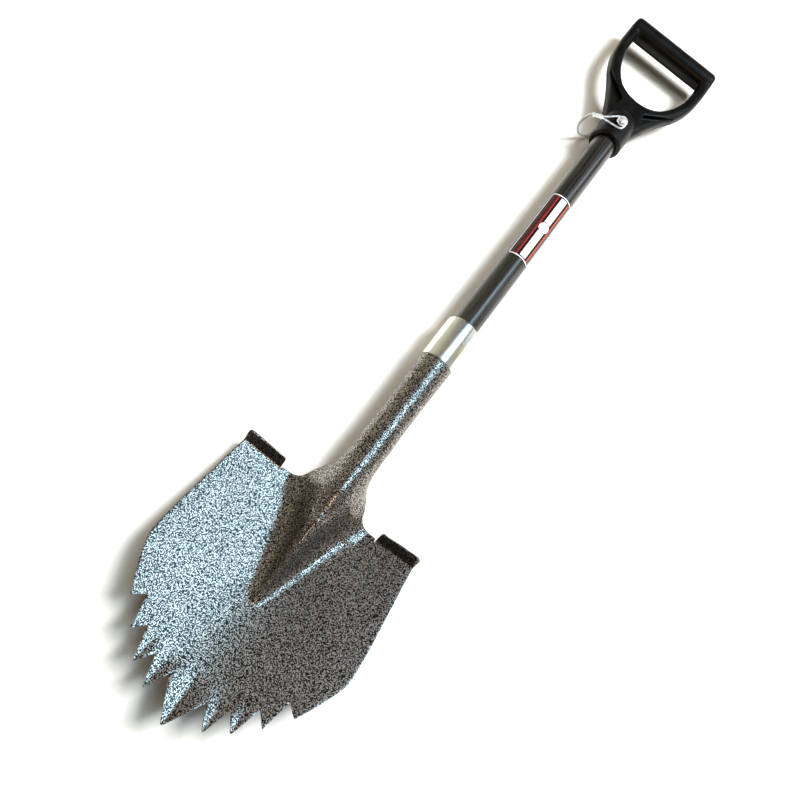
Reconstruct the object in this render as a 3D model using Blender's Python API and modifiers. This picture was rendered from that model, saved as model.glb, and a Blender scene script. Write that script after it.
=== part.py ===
"""Serrated digging shovel with a round fibreglass shaft and a D-grip held by a lanyard pin.

It lies on its back with the scoop up. +Y runs along the shaft towards the grip, +X is to the
right of the scoop and +Z is up. The origin is on the floor, midway along the length.
"""

import math

import bmesh
import bpy
from mathutils import Matrix, Vector

MM = 0.001
GAP = 0.3
MERGE = 0.02

# Along the shovel, in millimetres
TIP_Y = -520.5
FROG_APEX_Y = -394.5
SHOULDER_Y = -267.0
NECK_Y = -206.0
SOCKET_SCREW_Y = -118.0
LIP_Y = -75.5
FERRULE_TOP_Y = -19.0
LABEL_Y = (90.5, 195.5)
MOUTH_Y = 311.5
PIN_Y = 334.0
ANCHOR_Y = 379.0
GRIP_END_Y = 520.5

# Shaft, its axis above the floor and what it carries
AXIS_Z = 28.0
SHAFT_R = 16.0
SHAFT_BORE_R = 13.0
SHAFT_LOW_Y = -212.0
SHAFT_HIGH_Y = 348.0
CORE_LENGTH = 120.0
FERRULE_R = 20.5
FERRULE_CHAMFER = 1.6
SPIGOT_R = 17.15
SPIGOT_LENGTH = 14.0
SLIDE_FIT = 0.35
SOCKET_LIP_R = 19.8
SOCKET_WAIST_R = 18.3
SOCKET_WAIST_Y = -150.0
SOCKET_NECK_R = 20.0
SEAM_HALF_ANGLE = math.radians(10)
SOCKET_SCREW_HOLE_R = 2.6
LABEL_MIDDLE = math.radians(6)
LABEL_REACH = math.radians(58)
LABEL_FILM = 0.25

# Blade sheet
SHEET = 2.0
HEEL_Z = -4.3
LIFT = 0.10
SPOON = 0.00030
DISH = 0.19
FROG_HALF_WIDTH = 53.0
FROG_TIP_HALF_WIDTH = 3.0
CREST_Z = 45.5
THROAT_X = 38.0
THROAT_RISE = 9.0
STEP_X = (64.0, 112.0)
STEP_BEND_R = 4.0
STEP_ANGLE = math.radians(66)
STEP_FLAT = 8.5
STEP_SET_BACK = 3.6
STEP_CORNER = 2.6
RELIEF_X = 62.4
BLADE_EDGE_X = 125.0
BLADE_FLARE = 8.0
REAR_FADE = 30.0
PLAN_MARGIN = 8.0

# Blade mesh: columns across the socket, rows along the blade, and the columns outside the throat
SOCKET_COLUMNS = 8
ROW_SPACING = 19.0
THROAT_ROWS = 4
OUTER_COLUMNS = [42.0, 47.0, 53.0, RELIEF_X, *STEP_X, BLADE_EDGE_X]

# Grip
NECK_R = 22.0
BAR_R = 14.5
WEB_HALF = 10.5
WEB_EDGE = 4.0
GRIP_HALF_WIDTH = 71.5
BAR_EDGE = 5.0
POCKET_DEPTH = 3.5
POCKET_HALF = 4.0
SOCKET_CLEARANCE = 0.4
ANCHOR_HOLE_R = 2.1

# Pin, detent and lanyard
PIN_R = 4.0
PIN_HOLE_R = 4.35
GUIDE_R = 5.2
GUIDE_CROSS_HOLE_R = 5.6
PIN_END_Z = 0.0
PIN_END_CHAMFER = 1.0
HEAD_UNDER_Z = 53.8
HEAD_R = 7.0
HEAD_HEIGHT = 5.6
BALL_R = 1.25
BALL_Z = 3.1
SPRING_COIL_R = 0.95
SPRING_WIRE_R = 0.2
SPRING_TURNS = 3
ROPE_R = 1.1
ROPE_HALF_PITCH = 1.35
SHEATH_R = 1.8
SHEATH_WALL = 0.4
EYE_Z = 51.6
EYE_HALF_WIDTH = 8.6
EYE_LENGTH = 22.4
LOW_EYE_HALF_WIDTH = 4.4
LOW_EYE_LENGTH = 12.0
PIN_CRIMP_REACH = 30.0
PIN_CRIMP_LENGTH = 14.0
ANCHOR_CRIMP_REACH = 17.0
ANCHOR_CRIMP_LENGTH = 9.0

COLLECTION = "detecting_shovel"


def clear_scene():
    for item in list(bpy.data.objects):
        bpy.data.objects.remove(item, do_unlink=True)


def make_collection(name):
    group = bpy.data.collections.new(name)
    bpy.context.scene.collection.children.link(group)
    return group


def material(name, colour, roughness, metallic):
    made = bpy.data.materials.new(name)
    made.use_nodes = True
    shader = made.node_tree.nodes["Principled BSDF"]
    shader.inputs["Base Color"].default_value = (*colour, 1.0)
    shader.inputs["Roughness"].default_value = roughness
    shader.inputs["Metallic"].default_value = metallic
    return made


def add_object(name, data, group, mat=None):
    made = bpy.data.objects.new(name, data)
    group.objects.link(made)
    if mat:
        data.materials.append(mat)
    return made


def as_cutter(made):
    made.hide_render = True
    made.display_type = "WIRE"
    return made


def boolean(target, other, operation="DIFFERENCE"):
    step = target.modifiers.new(f"{operation.lower()}_{other.name}", "BOOLEAN")
    step.operation = operation
    step.object = other
    step.solver = "EXACT"


def round_shading(data, angle=40):
    data.shade_smooth()
    data.set_sharp_from_angle(angle=math.radians(angle))


def turned(name, profile, steps, group, mat=None):
    """Turns a closed or axis-to-axis profile of (radius, height) points about local Z."""
    data = bpy.data.meshes.new(name)
    points = [(r * MM, 0, z * MM) for r, z in profile]
    closed = profile[0][0] > 0 or profile[-1][0] > 0
    count = len(points)
    edges = [(i, i + 1) for i in range(count - 1)]
    if closed:
        edges.append((count - 1, 0))
    data.from_pydata(points, edges, [])
    made = add_object(name, data, group, mat)
    screw = made.modifiers.new("turn", "SCREW")
    screw.axis = "Z"
    screw.angle = math.tau
    screw.steps = steps
    screw.render_steps = steps
    screw.use_merge_vertices = True
    screw.merge_threshold = MERGE * MM
    screw.use_smooth_shade = True
    return made


def rod(name, radius, length, vertices, group, mat=None):
    """A plain cylinder along local Z, centred on its origin."""
    data = bpy.data.meshes.new(name)
    shape = bmesh.new()
    bmesh.ops.create_cone(
        shape,
        cap_ends=True,
        segments=vertices,
        radius1=radius * MM,
        radius2=radius * MM,
        depth=length * MM,
    )
    shape.to_mesh(data)
    shape.free()
    round_shading(data)
    return add_object(name, data, group, mat)


def along_y(made, x, y, z):
    """Points local Z along +Y."""
    made.location = (x * MM, y * MM, z * MM)
    made.rotation_euler = (-math.pi / 2, 0, 0)


def along_x(made, x, y, z):
    """Points local Z along +X."""
    made.location = (x * MM, y * MM, z * MM)
    made.rotation_euler = (0, math.pi / 2, 0)


def at(made, x, y, z):
    made.location = (x * MM, y * MM, z * MM)


def curve_to_mesh(made, group, mat=None):
    """Turns a curve object into a welded mesh object of the same name and place."""
    name = made.name
    place = made.matrix_world.copy()
    graph = bpy.context.evaluated_depsgraph_get()
    data = bpy.data.meshes.new_from_object(made.evaluated_get(graph))
    bpy.data.objects.remove(made, do_unlink=True)
    shape = bmesh.new()
    shape.from_mesh(data)
    bmesh.ops.remove_doubles(shape, verts=shape.verts, dist=MERGE * MM / 2)
    bmesh.ops.recalc_face_normals(shape, faces=shape.faces)
    shape.to_mesh(data)
    shape.free()
    data.name = name
    data.materials.clear()
    solid = add_object(name, data, group, mat)
    solid.matrix_world = place
    return solid


def flat_outline(name, loops, half_thickness, group, edge=0.0, mat=None):
    """A plate in local XY from closed loops of points, its edges rounded by edge."""
    curve = bpy.data.curves.new(name, "CURVE")
    curve.dimensions = "2D"
    curve.fill_mode = "BOTH"
    curve.extrude = (half_thickness - edge) * MM
    curve.bevel_depth = edge * MM
    curve.bevel_resolution = 1
    curve.offset = -edge * MM
    for loop in loops:
        spline = curve.splines.new("POLY")
        spline.points.add(len(loop) - 1)
        for point, (x, y) in zip(spline.points, loop):
            point.co = (x * MM, y * MM, 0, 1)
        spline.use_cyclic_u = True
    made = bpy.data.objects.new(name, curve)
    group.objects.link(made)
    bpy.context.view_layer.update()
    return curve_to_mesh(made, group, mat)


def smooth_path(points, per_span):
    """Catmull-Rom points through the given ones, per_span of them to a span."""
    padded = [2 * points[0] - points[1], *points, 2 * points[-1] - points[-2]]
    out = []
    for i in range(len(points) - 1):
        a, b, c, d = padded[i : i + 4]
        for k in range(per_span):
            t = k / per_span
            out.append(
                0.5
                * (
                    2 * b
                    + (c - a) * t
                    + (2 * a - 5 * b + 4 * c - d) * t**2
                    + (3 * b - a - 3 * c + d) * t**3
                )
            )
    out.append(points[-1].copy())
    return out


def wire(name, path, radius, group, caps=True):
    curve = bpy.data.curves.new(name, "CURVE")
    curve.dimensions = "3D"
    curve.bevel_depth = radius * MM
    curve.bevel_resolution = 2
    curve.use_fill_caps = caps
    spline = curve.splines.new("POLY")
    spline.points.add(len(path) - 1)
    for point, place in zip(spline.points, path):
        point.co = (*(place * MM), 1)
    made = bpy.data.objects.new(name, curve)
    group.objects.link(made)
    bpy.context.view_layer.update()
    return made


# ---------------------------------------------------------------- blade head


def sheet_z(x, y):
    """Height of the blade's upper face without the frog: lifted, spooned and dished."""
    run = max(0.0, SHOULDER_Y - y)
    share = run / (SHOULDER_Y - TIP_Y)
    soft = 25.0 + 35.0 * share
    dish = DISH * (math.hypot(x, soft) - soft)
    return HEEL_Z + LIFT * run + SPOON * run**2 + dish


def frog_share(y):
    """0 at the shoulder line, 1 at the frog's apex and beyond."""
    return min(1.0, max(0.0, (SHOULDER_Y - y) / (SHOULDER_Y - FROG_APEX_Y)))


def blade_z(x, y):
    """Height of the blade's upper face with the raised frog."""
    share = frog_share(y)
    width = FROG_HALF_WIDTH + (FROG_TIP_HALF_WIDTH - FROG_HALF_WIDTH) * share
    crest = CREST_Z + (sheet_z(0, FROG_APEX_Y) - CREST_Z) * share
    rise = max(0.0, crest - sheet_z(0, y))
    reach = min(1.0, abs(x) / width)
    return sheet_z(x, y) + rise * 0.5 * (1 + math.cos(math.pi * reach))


def socket_radius(y):
    if y > SOCKET_WAIST_Y:
        share = (y - SOCKET_WAIST_Y) / (LIP_Y - SOCKET_WAIST_Y)
        return SOCKET_WAIST_R + (SOCKET_LIP_R - SOCKET_WAIST_R) * share
    share = (SOCKET_WAIST_Y - y) / (SOCKET_WAIST_Y - NECK_Y)
    return SOCKET_WAIST_R + (SOCKET_NECK_R - SOCKET_WAIST_R) * share**2


def rear_shift(x):
    """Rear edge of the sheet against the shoulder line: up at the throat, back at the step."""
    if x > RELIEF_X:
        return -STEP_SET_BACK
    beyond = max(0.0, x - THROAT_X)
    return THROAT_RISE * math.exp(-beyond / 6.0)


def blade_columns(y):
    """Column places from the centre line out, those of the socket first."""
    share = frog_share(y)
    throat = THROAT_X + (FROG_TIP_HALF_WIDTH - THROAT_X) * share
    inner = [throat * i / SOCKET_COLUMNS for i in range(SOCKET_COLUMNS + 1)]
    edge = BLADE_EDGE_X + BLADE_FLARE * share
    stretch = (edge - throat) / (BLADE_EDGE_X - THROAT_X)
    outer = [throat + stretch * (x - THROAT_X) for x in OUTER_COLUMNS]
    return inner + outer


def blade_rows():
    """Row places from beyond the tip to the shoulder line."""
    start = TIP_Y - PLAN_MARGIN
    steps = round((SHOULDER_Y - start) / ROW_SPACING)
    return [start + (SHOULDER_Y - start) * i / steps for i in range(steps + 1)]


def throat_section(share, y):
    """Right half of the section between the shoulder line (0) and the closed socket (1)."""
    ease = share**1.3
    points = []
    for i in range(SOCKET_COLUMNS + 1):
        part = i / SOCKET_COLUMNS
        open_x = THROAT_X * part
        open_z = blade_z(open_x, SHOULDER_Y)
        turn = part * (math.pi - SEAM_HALF_ANGLE)
        radius = socket_radius(max(y, NECK_Y))
        closed_x = radius * math.sin(turn)
        closed_z = AXIS_Z + radius * math.cos(turn)
        x = open_x + (closed_x - open_x) * ease
        z = open_z + (closed_z - open_z) * ease
        points.append((x, z))
    return points


def blade_half():
    """The right half of the blade's upper face, from the tip to the socket's lip."""
    shape = bmesh.new()
    rear_row = add_sheet(shape)
    step_start = SOCKET_COLUMNS + 1 + OUTER_COLUMNS.index(STEP_X[0])
    add_step(shape, rear_row[step_start : step_start + 2])
    add_socket(shape, rear_row[: SOCKET_COLUMNS + 1])
    return shape


def add_sheet(shape):
    """The blade from beyond the tip to the shoulder line; gives back its rear row."""
    at_rear = blade_columns(SHOULDER_Y)
    previous = None
    for y in blade_rows():
        weight = max(0.0, 1 - (SHOULDER_Y - y) / REAR_FADE)
        row = []
        for x, rear_x in zip(blade_columns(y), at_rear):
            place = y + rear_shift(rear_x) * weight
            row.append(shape.verts.new((x * MM, place * MM, blade_z(x, y) * MM)))
        if previous:
            join_rows(shape, previous, row)
        previous = row
    return previous


def add_socket(shape, base):
    """The throat and the rolled socket above the base row."""
    throat_start = SHOULDER_Y + THROAT_RISE
    previous = base
    for y in socket_stations():
        share = min(1.0, (y - throat_start) / (NECK_Y - throat_start))
        row = [shape.verts.new((x * MM, y * MM, z * MM)) for x, z in throat_section(share, y)]
        join_rows(shape, previous, row)
        previous = row


def socket_stations():
    throat_start = SHOULDER_Y + THROAT_RISE
    pace = (NECK_Y - throat_start) / (THROAT_ROWS + 1)
    throat = [throat_start + pace * i for i in range(1, THROAT_ROWS + 2)]
    between = (NECK_Y + SOCKET_WAIST_Y) / 2
    return [*throat, between, SOCKET_WAIST_Y, LIP_Y]


def join_rows(shape, low, high):
    for i in range(len(low) - 1):
        shape.faces.new((low[i], low[i + 1], high[i + 1], high[i]))


def step_bend(turn):
    """How far along and up the bend has gone when the sheet has turned to the given angle."""
    slope = math.atan(LIFT)
    along = STEP_BEND_R * (math.sin(turn) + math.sin(slope))
    up = STEP_BEND_R * (math.cos(slope) - math.cos(turn))
    return along, up


def add_step(shape, base):
    """Turns the rear edge between two columns up into a flat foot step."""
    start = [v.co.copy() / MM for v in base]
    final = STEP_ANGLE - math.atan(LIFT)
    rows = [base]
    for share in (1 / 3, 2 / 3, 1):
        along, up = step_bend(STEP_ANGLE * share - math.atan(LIFT))
        rows.append(step_row(shape, start, along, up, 0))
    bend_along, bend_up = step_bend(final)
    for flat, inset in ((STEP_FLAT - STEP_CORNER, 0), (STEP_FLAT, STEP_CORNER)):
        along = bend_along + flat * math.cos(final)
        up = bend_up + flat * math.sin(final)
        rows.append(step_row(shape, start, along, up, inset))
    for low, high in zip(rows, rows[1:]):
        join_rows(shape, low, high)


def step_row(shape, start, along, up, inset):
    """Two points above the start points, each moved inset towards the other."""
    inward = (start[1] - start[0]).normalized() * inset
    ends = (start[0] + inward, start[1] - inward)
    return [shape.verts.new((p + Vector((0, along, up))) * MM) for p in ends]


def tooth_outline():
    """Right half of the plan outline from the tip round to the rear: x, distance from tip."""
    shoulder = SHOULDER_Y - TIP_Y + GAP / 3
    teeth = [(0, 0), (22, 37), (34, 15), (43.5, 44), (56, 28), (66, 58.6), (77.5, 47)]
    side = [(85, 79), (97, 70), (109, 92), (117, 109), (122.5, 124), (121, 160)]
    side.append((112.6, shoulder))
    return [(x, TIP_Y + d) for x, d in teeth + side]


def make_blade(group, cutters, mat):
    data = bpy.data.meshes.new("blade_head")
    shape = blade_half()
    bmesh.ops.recalc_face_normals(shape, faces=shape.faces)
    shape.normal_update()
    if sum(face.normal.z for face in shape.faces) < 0:
        bmesh.ops.reverse_faces(shape, faces=shape.faces)
    shape.to_mesh(data)
    shape.free()
    blade = add_object("blade_head", data, group, mat)
    mirror = blade.modifiers.new("both_halves", "MIRROR")
    mirror.use_axis[0] = True
    mirror.merge_threshold = MERGE * MM
    shell = blade.modifiers.new("sheet", "SOLIDIFY")
    shell.thickness = SHEET * MM
    shell.offset = -1
    shell.use_even_offset = True
    right = tooth_outline()
    left = [(-x, y) for x, y in reversed(right[1:])]
    beyond = BLADE_EDGE_X + 2 * PLAN_MARGIN
    rear_y = right[-1][1]
    rear = [(beyond, rear_y), (beyond, 0), (-beyond, 0), (-beyond, rear_y)]
    plan = flat_outline("blade_plan", [right + rear + left], BLADE_EDGE_X, cutters)
    at(as_cutter(plan), 0, 0, AXIS_Z)
    boolean(blade, plan, "INTERSECT")
    return blade


# ---------------------------------------------------------------- shaft and its fittings


def make_ferrule(group, mat):
    """Collar whose thin spigot stands inside the socket's lip."""
    bore = SHAFT_R + SLIDE_FIT
    length = FERRULE_TOP_Y - LIP_Y
    profile = [
        (bore, length),
        (FERRULE_R - FERRULE_CHAMFER, length),
        (FERRULE_R, length - FERRULE_CHAMFER),
        (FERRULE_R, GAP),
        (SPIGOT_R, GAP),
        (SPIGOT_R, -SPIGOT_LENGTH),
        (bore, -SPIGOT_LENGTH),
    ]
    ferrule = turned("ferrule", profile, 48, group, mat)
    along_y(ferrule, 0, LIP_Y, AXIS_Z)
    return ferrule


def make_shaft(group, cutters, mat):
    length = SHAFT_HIGH_Y - SHAFT_LOW_Y
    profile = [(SHAFT_BORE_R, length), (SHAFT_R, length), (SHAFT_R, 0), (SHAFT_BORE_R, 0)]
    shaft = turned("shaft_tube", profile, 48, group, mat)
    along_y(shaft, 0, SHAFT_LOW_Y, AXIS_Z)
    cross = cutter_rod("shaft_cross_hole", GUIDE_CROSS_HOLE_R, 4 * SHAFT_R, cutters)
    at(cross, 0, PIN_Y, AXIS_Z)
    boolean(shaft, cross)
    low = cutter_rod("shaft_screw_hole", SOCKET_SCREW_HOLE_R, SHAFT_BORE_R, cutters)
    at(low, 0, SOCKET_SCREW_Y, AXIS_Z - SHAFT_R)
    boolean(shaft, low)
    return shaft


def cutter_rod(name, radius, length, group):
    return as_cutter(rod(name, radius, length, 24, group))


def make_core(group, cutters, mat):
    core = rod("shaft_core", SHAFT_BORE_R - GAP, CORE_LENGTH, 32, group, mat)
    along_y(core, 0, SHAFT_LOW_Y + CORE_LENGTH / 2, AXIS_Z)
    hole = cutter_rod("core_screw_hole", SOCKET_SCREW_HOLE_R, 24, cutters)
    at(hole, 0, SOCKET_SCREW_Y, AXIS_Z - SHAFT_BORE_R)
    boolean(core, hole)
    return core


def make_socket_screw(group, mat):
    """Pan-head screw from below: its shank stands in the open seam of the socket."""
    head_top = AXIS_Z - socket_radius(SOCKET_SCREW_Y) - GAP
    profile = [(0, 17), (2.2, 15.5), (2.2, 0), (4.6, 0), (4.4, -1.6), (2.6, -2.6), (0, -2.8)]
    screw = turned("socket_screw", profile, 24, group, mat)
    at(screw, 0, SOCKET_SCREW_Y, head_top)
    return screw


def make_end_cap(group, mat):
    profile = [(0, 2), (SHAFT_R - 0.2, 2), (SHAFT_R - 0.2, 0)]
    profile += [(SHAFT_BORE_R - GAP, 0), (SHAFT_BORE_R - GAP, -9), (0, -9)]
    cap = turned("shaft_end_cap", profile, 32, group, mat)
    along_y(cap, 0, SHAFT_HIGH_Y + GAP, AXIS_Z)
    return cap


def make_label(group, mat):
    """A strip of film bent over the shaft, turned a little to the right of the top."""
    count = 20
    data = bpy.data.meshes.new("shaft_label")
    shape = bmesh.new()
    radius = SHAFT_R + GAP
    ends = []
    for y in LABEL_Y:
        row = []
        for i in range(count + 1):
            turn = LABEL_MIDDLE + LABEL_REACH * (2 * i / count - 1)
            place = Vector((radius * math.sin(turn), y, AXIS_Z + radius * math.cos(turn)))
            row.append(shape.verts.new(place * MM))
        ends.append(row)
    join_rows(shape, *ends)
    shape.to_mesh(data)
    shape.free()
    round_shading(data)
    label = add_object("shaft_label", data, group, mat)
    film = label.modifiers.new("film", "SOLIDIFY")
    film.thickness = LABEL_FILM * MM
    film.offset = 1
    return label


def make_guide_tube(group, mat):
    """Metal tube that lines the cross hole and ends just inside the shaft's round face."""
    half = math.sqrt(SHAFT_R**2 - GUIDE_R**2) - SLIDE_FIT
    profile = [(PIN_HOLE_R, half), (GUIDE_R, half), (GUIDE_R, -half), (PIN_HOLE_R, -half)]
    tube = turned("pin_guide_tube", profile, 32, group, mat)
    at(tube, 0, PIN_Y, AXIS_Z)
    return tube


# ---------------------------------------------------------------- grip


def mirrored(half):
    """Closed loop from a right half that starts and ends on the centre line."""
    return half + [(-x, y) for x, y in reversed(half[1:-1])]


def arc(cx, cy, radius, start, stop, count):
    turns = [math.radians(start + (stop - start) * i / count) for i in range(count + 1)]
    return [(cx + radius * math.cos(t), cy + radius * math.sin(t)) for t in turns]


def smooth_half(points, per_span):
    path = smooth_path([Vector((x, y)) for x, y in points], per_span)
    return [(p.x, p.y) for p in path]


def grip_outer():
    """Right half of the arms' outer outline, from the neck round to behind the bar."""
    flank = [(20, 330), (24, 346), (33, 370), (45, 395), (57, 416), (66, 439), (70.5, 466)]
    flank.append((GRIP_HALF_WIDTH, 500))
    corner_r = 13
    corner = arc(GRIP_HALF_WIDTH - corner_r, GRIP_END_Y - corner_r - 1, corner_r, 0, 90, 4)
    return [(0, 330), *smooth_half(flank, 3), *corner, (0, GRIP_END_Y - 1)]


def grip_window():
    """Right half of the hand opening, which ends just inside the bar."""
    lower = [(0, 396), (15, 398.5), (29, 408), (40, 428), (48, 452), (53, 474)]
    bar_edge = GRIP_END_Y - 2 * BAR_R + 2 * GAP
    corner_r = 5.5
    corner = arc(48, bar_edge - corner_r, corner_r, 0, 90, 3)
    return [*smooth_half(lower, 3), *corner, (0, bar_edge)]


def grip_pocket():
    """Lightening recess in the right arm beside the neck."""
    outside = [(24, 362), (32, 378), (44, 401), (57, 427), (61, 452)]
    inside = [(57, 446), (50, 424), (37, 399), (22, 384)]
    return outside + inside


def make_grip(group, cutters, mat):
    grip = flat_outline(
        "grip_moulding",
        [mirrored(grip_outer()), mirrored(grip_window())],
        WEB_HALF,
        group,
        edge=WEB_EDGE,
        mat=mat,
    )
    at(grip, 0, 0, AXIS_Z)
    bar = rod("grip_bar", BAR_R, 2 * GRIP_HALF_WIDTH - 8, 32, cutters)
    soften(bar, BAR_EDGE)
    along_x(bar, 0, GRIP_END_Y - BAR_R, AXIS_Z)
    neck = turned("grip_neck", neck_profile(), 40, cutters)
    along_y(neck, 0, MOUTH_Y, AXIS_Z)
    for part in (bar, neck):
        boolean(grip, as_cutter(part), "UNION")
    for side in (-1, 1):
        outline = [(side * x, y) for x, y in grip_pocket()]
        for face in (-1, 1):
            pocket = flat_outline(f"grip_pocket_{side}_{face}", [outline], POCKET_HALF, cutters)
            at(pocket, 0, 0, AXIS_Z + face * (WEB_HALF - POCKET_DEPTH + POCKET_HALF))
            boolean(grip, as_cutter(pocket))
    bore_grip(grip, cutters)
    return grip


def bore_grip(grip, cutters):
    """The shaft's bore, the pin's cross hole and the lanyard screw's pilot hole."""
    start = MOUTH_Y - NECK_R
    end = SHAFT_HIGH_Y + 4
    bore = cutter_rod("grip_bore", SHAFT_R + SOCKET_CLEARANCE, end - start, cutters)
    along_y(bore, 0, (start + end) / 2, AXIS_Z)
    boolean(grip, bore)
    pin_hole = cutter_rod("grip_pin_hole", PIN_HOLE_R, 4 * NECK_R, cutters)
    at(pin_hole, 0, PIN_Y, AXIS_Z)
    boolean(grip, pin_hole)
    screw_hole = cutter_rod("grip_screw_hole", ANCHOR_HOLE_R, 30, cutters)
    at(screw_hole, 0, ANCHOR_Y, AXIS_Z - WEB_HALF)
    boolean(grip, screw_hole)


def neck_profile():
    """Radius and distance from the mouth: a domed inner end, a straight neck, a small chamfer."""
    dome = [(0, 58), (8, 57), (15, 53), (20, 46), (NECK_R, 38)]
    return [*dome, (NECK_R, 1), (NECK_R - 1, 0), (0, 0)]


def soften(made, width):
    bevel = made.modifiers.new("soft_edge", "BEVEL")
    bevel.width = width * MM
    bevel.segments = 3
    bevel.limit_method = "ANGLE"


# ---------------------------------------------------------------- pin and detent


def make_pin(group, cutters, mat):
    """Dome-headed pin; local Z is its axis and its origin is on the pin's axis at floor level."""
    rim = 1.0
    dome = []
    for i in range(6):
        turn = math.radians(18 * i)
        height = HEAD_UNDER_Z + rim + (HEAD_HEIGHT - rim) * math.cos(turn)
        dome.append((HEAD_R * math.sin(turn), height))
    profile = [*dome, (HEAD_R, HEAD_UNDER_Z), (PIN_R, HEAD_UNDER_Z)]
    profile += [(PIN_R, PIN_END_Z + PIN_END_CHAMFER), (PIN_R - PIN_END_CHAMFER, PIN_END_Z)]
    profile.append((0, PIN_END_Z))
    pin = turned("pin", profile, 32, group, mat)
    at(pin, 0, PIN_Y, 0)
    hole = cutter_rod("detent_hole", BALL_R + GAP / 2, 5 * PIN_R, cutters)
    along_x(hole, 0, PIN_Y, BALL_Z)
    boolean(pin, hole)
    return pin


def make_ball(name, side, group, mat):
    """Detent ball pressed in until it is flush with the pin, as when the pin is drawn."""
    data = bpy.data.meshes.new(name)
    shape = bmesh.new()
    bmesh.ops.create_uvsphere(shape, u_segments=16, v_segments=10, radius=BALL_R * MM)
    shape.to_mesh(data)
    shape.free()
    data.shade_smooth()
    ball = add_object(name, data, group, mat)
    at(ball, side * (PIN_R - BALL_R), PIN_Y, BALL_Z)
    return ball


def make_detent_spring(group, mat):
    """Coil along X, compressed between the two pressed-in balls."""
    length = 2 * (PIN_R - 2 * BALL_R) - 4 * SPRING_WIRE_R
    count = SPRING_TURNS * 8
    path = []
    for i in range(count + 1):
        turn = math.tau * SPRING_TURNS * i / count
        place = (i / count - 0.5) * length
        y = SPRING_COIL_R * math.cos(turn)
        z = SPRING_COIL_R * math.sin(turn)
        path.append(Vector((place, y, z)))
    coil = wire("detent_spring", path, SPRING_WIRE_R, group)
    spring = curve_to_mesh(coil, group, mat)
    at(spring, 0, PIN_Y, BALL_Z)
    return spring


# ---------------------------------------------------------------- lanyard


def teardrop(centre, away, half_width, length, normal, count):
    """Open loop round centre whose two ends meet side by side at length along away."""
    side = normal.cross(away).normalized()
    points = []
    for i in range(count + 1):
        turn = math.radians(-115 + 230 * i / count)
        ring = side * math.sin(turn) - away * math.cos(turn)
        points.append(centre + ring * half_width)
    first = centre + away * length - side * ROPE_HALF_PITCH
    last = centre + away * length + side * ROPE_HALF_PITCH
    return [first, *points, last]


def rope_frames():
    """The two eyes' places and the directions in which they leave."""
    top_centre = Vector((-2.4, PIN_Y - 1.0, EYE_Z))
    top_away = Vector((-0.90, -0.42, -0.06)).normalized()
    low_centre = Vector((0, ANCHOR_Y, AXIS_Z - WEB_HALF - 3.2))
    low_away = Vector((-0.72, -0.68, -0.08)).normalized()
    return top_centre, top_away, low_centre, low_away


def crimp_places():
    """Middle and direction of the crimp by the pin, then of the crimp by the anchor."""
    top_centre, top_away, low_centre, low_away = rope_frames()
    top = top_centre + top_away * PIN_CRIMP_REACH
    low = low_centre + low_away * ANCHOR_CRIMP_REACH
    return top, top_away, low, low_away


def rope_run():
    """Middle line of the free run from one crimp, round the neck's left side, to the other."""
    top, top_away, low, low_away = crimp_places()
    guide = [
        top + top_away * 9,
        Vector((-41.5, 315, 38)),
        Vector((-42.0, 314, 26)),
        Vector((-37.0, 318, 13)),
        Vector((-30.0, 325, 5.6)),
        Vector((-24.0, 334, 4.0)),
        low + low_away * 9,
    ]
    return smooth_path(guide, 4)


def make_rope(group, mat):
    top_centre, top_away, low_centre, low_away = rope_frames()
    up = Vector((0, 0, 1))
    top_normal = (up - top_away * up.dot(top_away)).normalized()
    low_normal = (up - low_away * up.dot(low_away)).normalized()
    top = teardrop(top_centre, top_away, EYE_HALF_WIDTH, EYE_LENGTH, top_normal, 12)
    low = teardrop(low_centre, low_away, LOW_EYE_HALF_WIDTH, LOW_EYE_LENGTH, low_normal, 10)
    top_side = (top[-1] - top[0]).normalized() * ROPE_HALF_PITCH
    low_side = (low[-1] - low[0]).normalized() * ROPE_HALF_PITCH
    top_crimp, _, low_crimp, _ = crimp_places()
    start = [top_crimp - top_side + top_away * 4, *top, top_crimp + top_side + top_away * 2]
    finish = [low_crimp - low_side + low_away * 2, *low, low_crimp + low_side + low_away * 4]
    path = start + rope_run() + finish
    return curve_to_mesh(wire("lanyard_cable", path, ROPE_R, group), group, mat)


def make_sheath(group, mat):
    """Open-ended sleeve over the free run, short of both crimps."""
    sleeve = wire("lanyard_sheath", rope_run()[2:-2], SHEATH_R, group, caps=False)
    sheath = curve_to_mesh(sleeve, group, mat)
    shell = sheath.modifiers.new("wall", "SOLIDIFY")
    shell.thickness = SHEATH_WALL * MM
    shell.offset = -1
    return sheath


def make_crimp(name, place, away, length, group, mat):
    """Oval sleeve round the two ropes, its length along away."""
    outer = stadium(3.5, 2.0)
    inner = stadium(2.75, ROPE_HALF_PITCH)
    crimp = flat_outline(name, [outer, inner], length / 2, group, mat=mat)
    up = Vector((0, 0, 1))
    normal = (up - away * up.dot(away)).normalized()
    side = normal.cross(away).normalized()
    crimp.matrix_world = Matrix.Translation(place * MM) @ basis(side, normal, away)
    return crimp


def basis(x_axis, y_axis, z_axis):
    turned_to = Matrix((x_axis, y_axis, z_axis)).transposed()
    return turned_to.to_4x4()


def stadium(half_length, radius):
    right = arc(half_length - radius, 0, radius, -90, 90, 6)
    left = arc(radius - half_length, 0, radius, 90, 270, 6)
    return right + left


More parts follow.
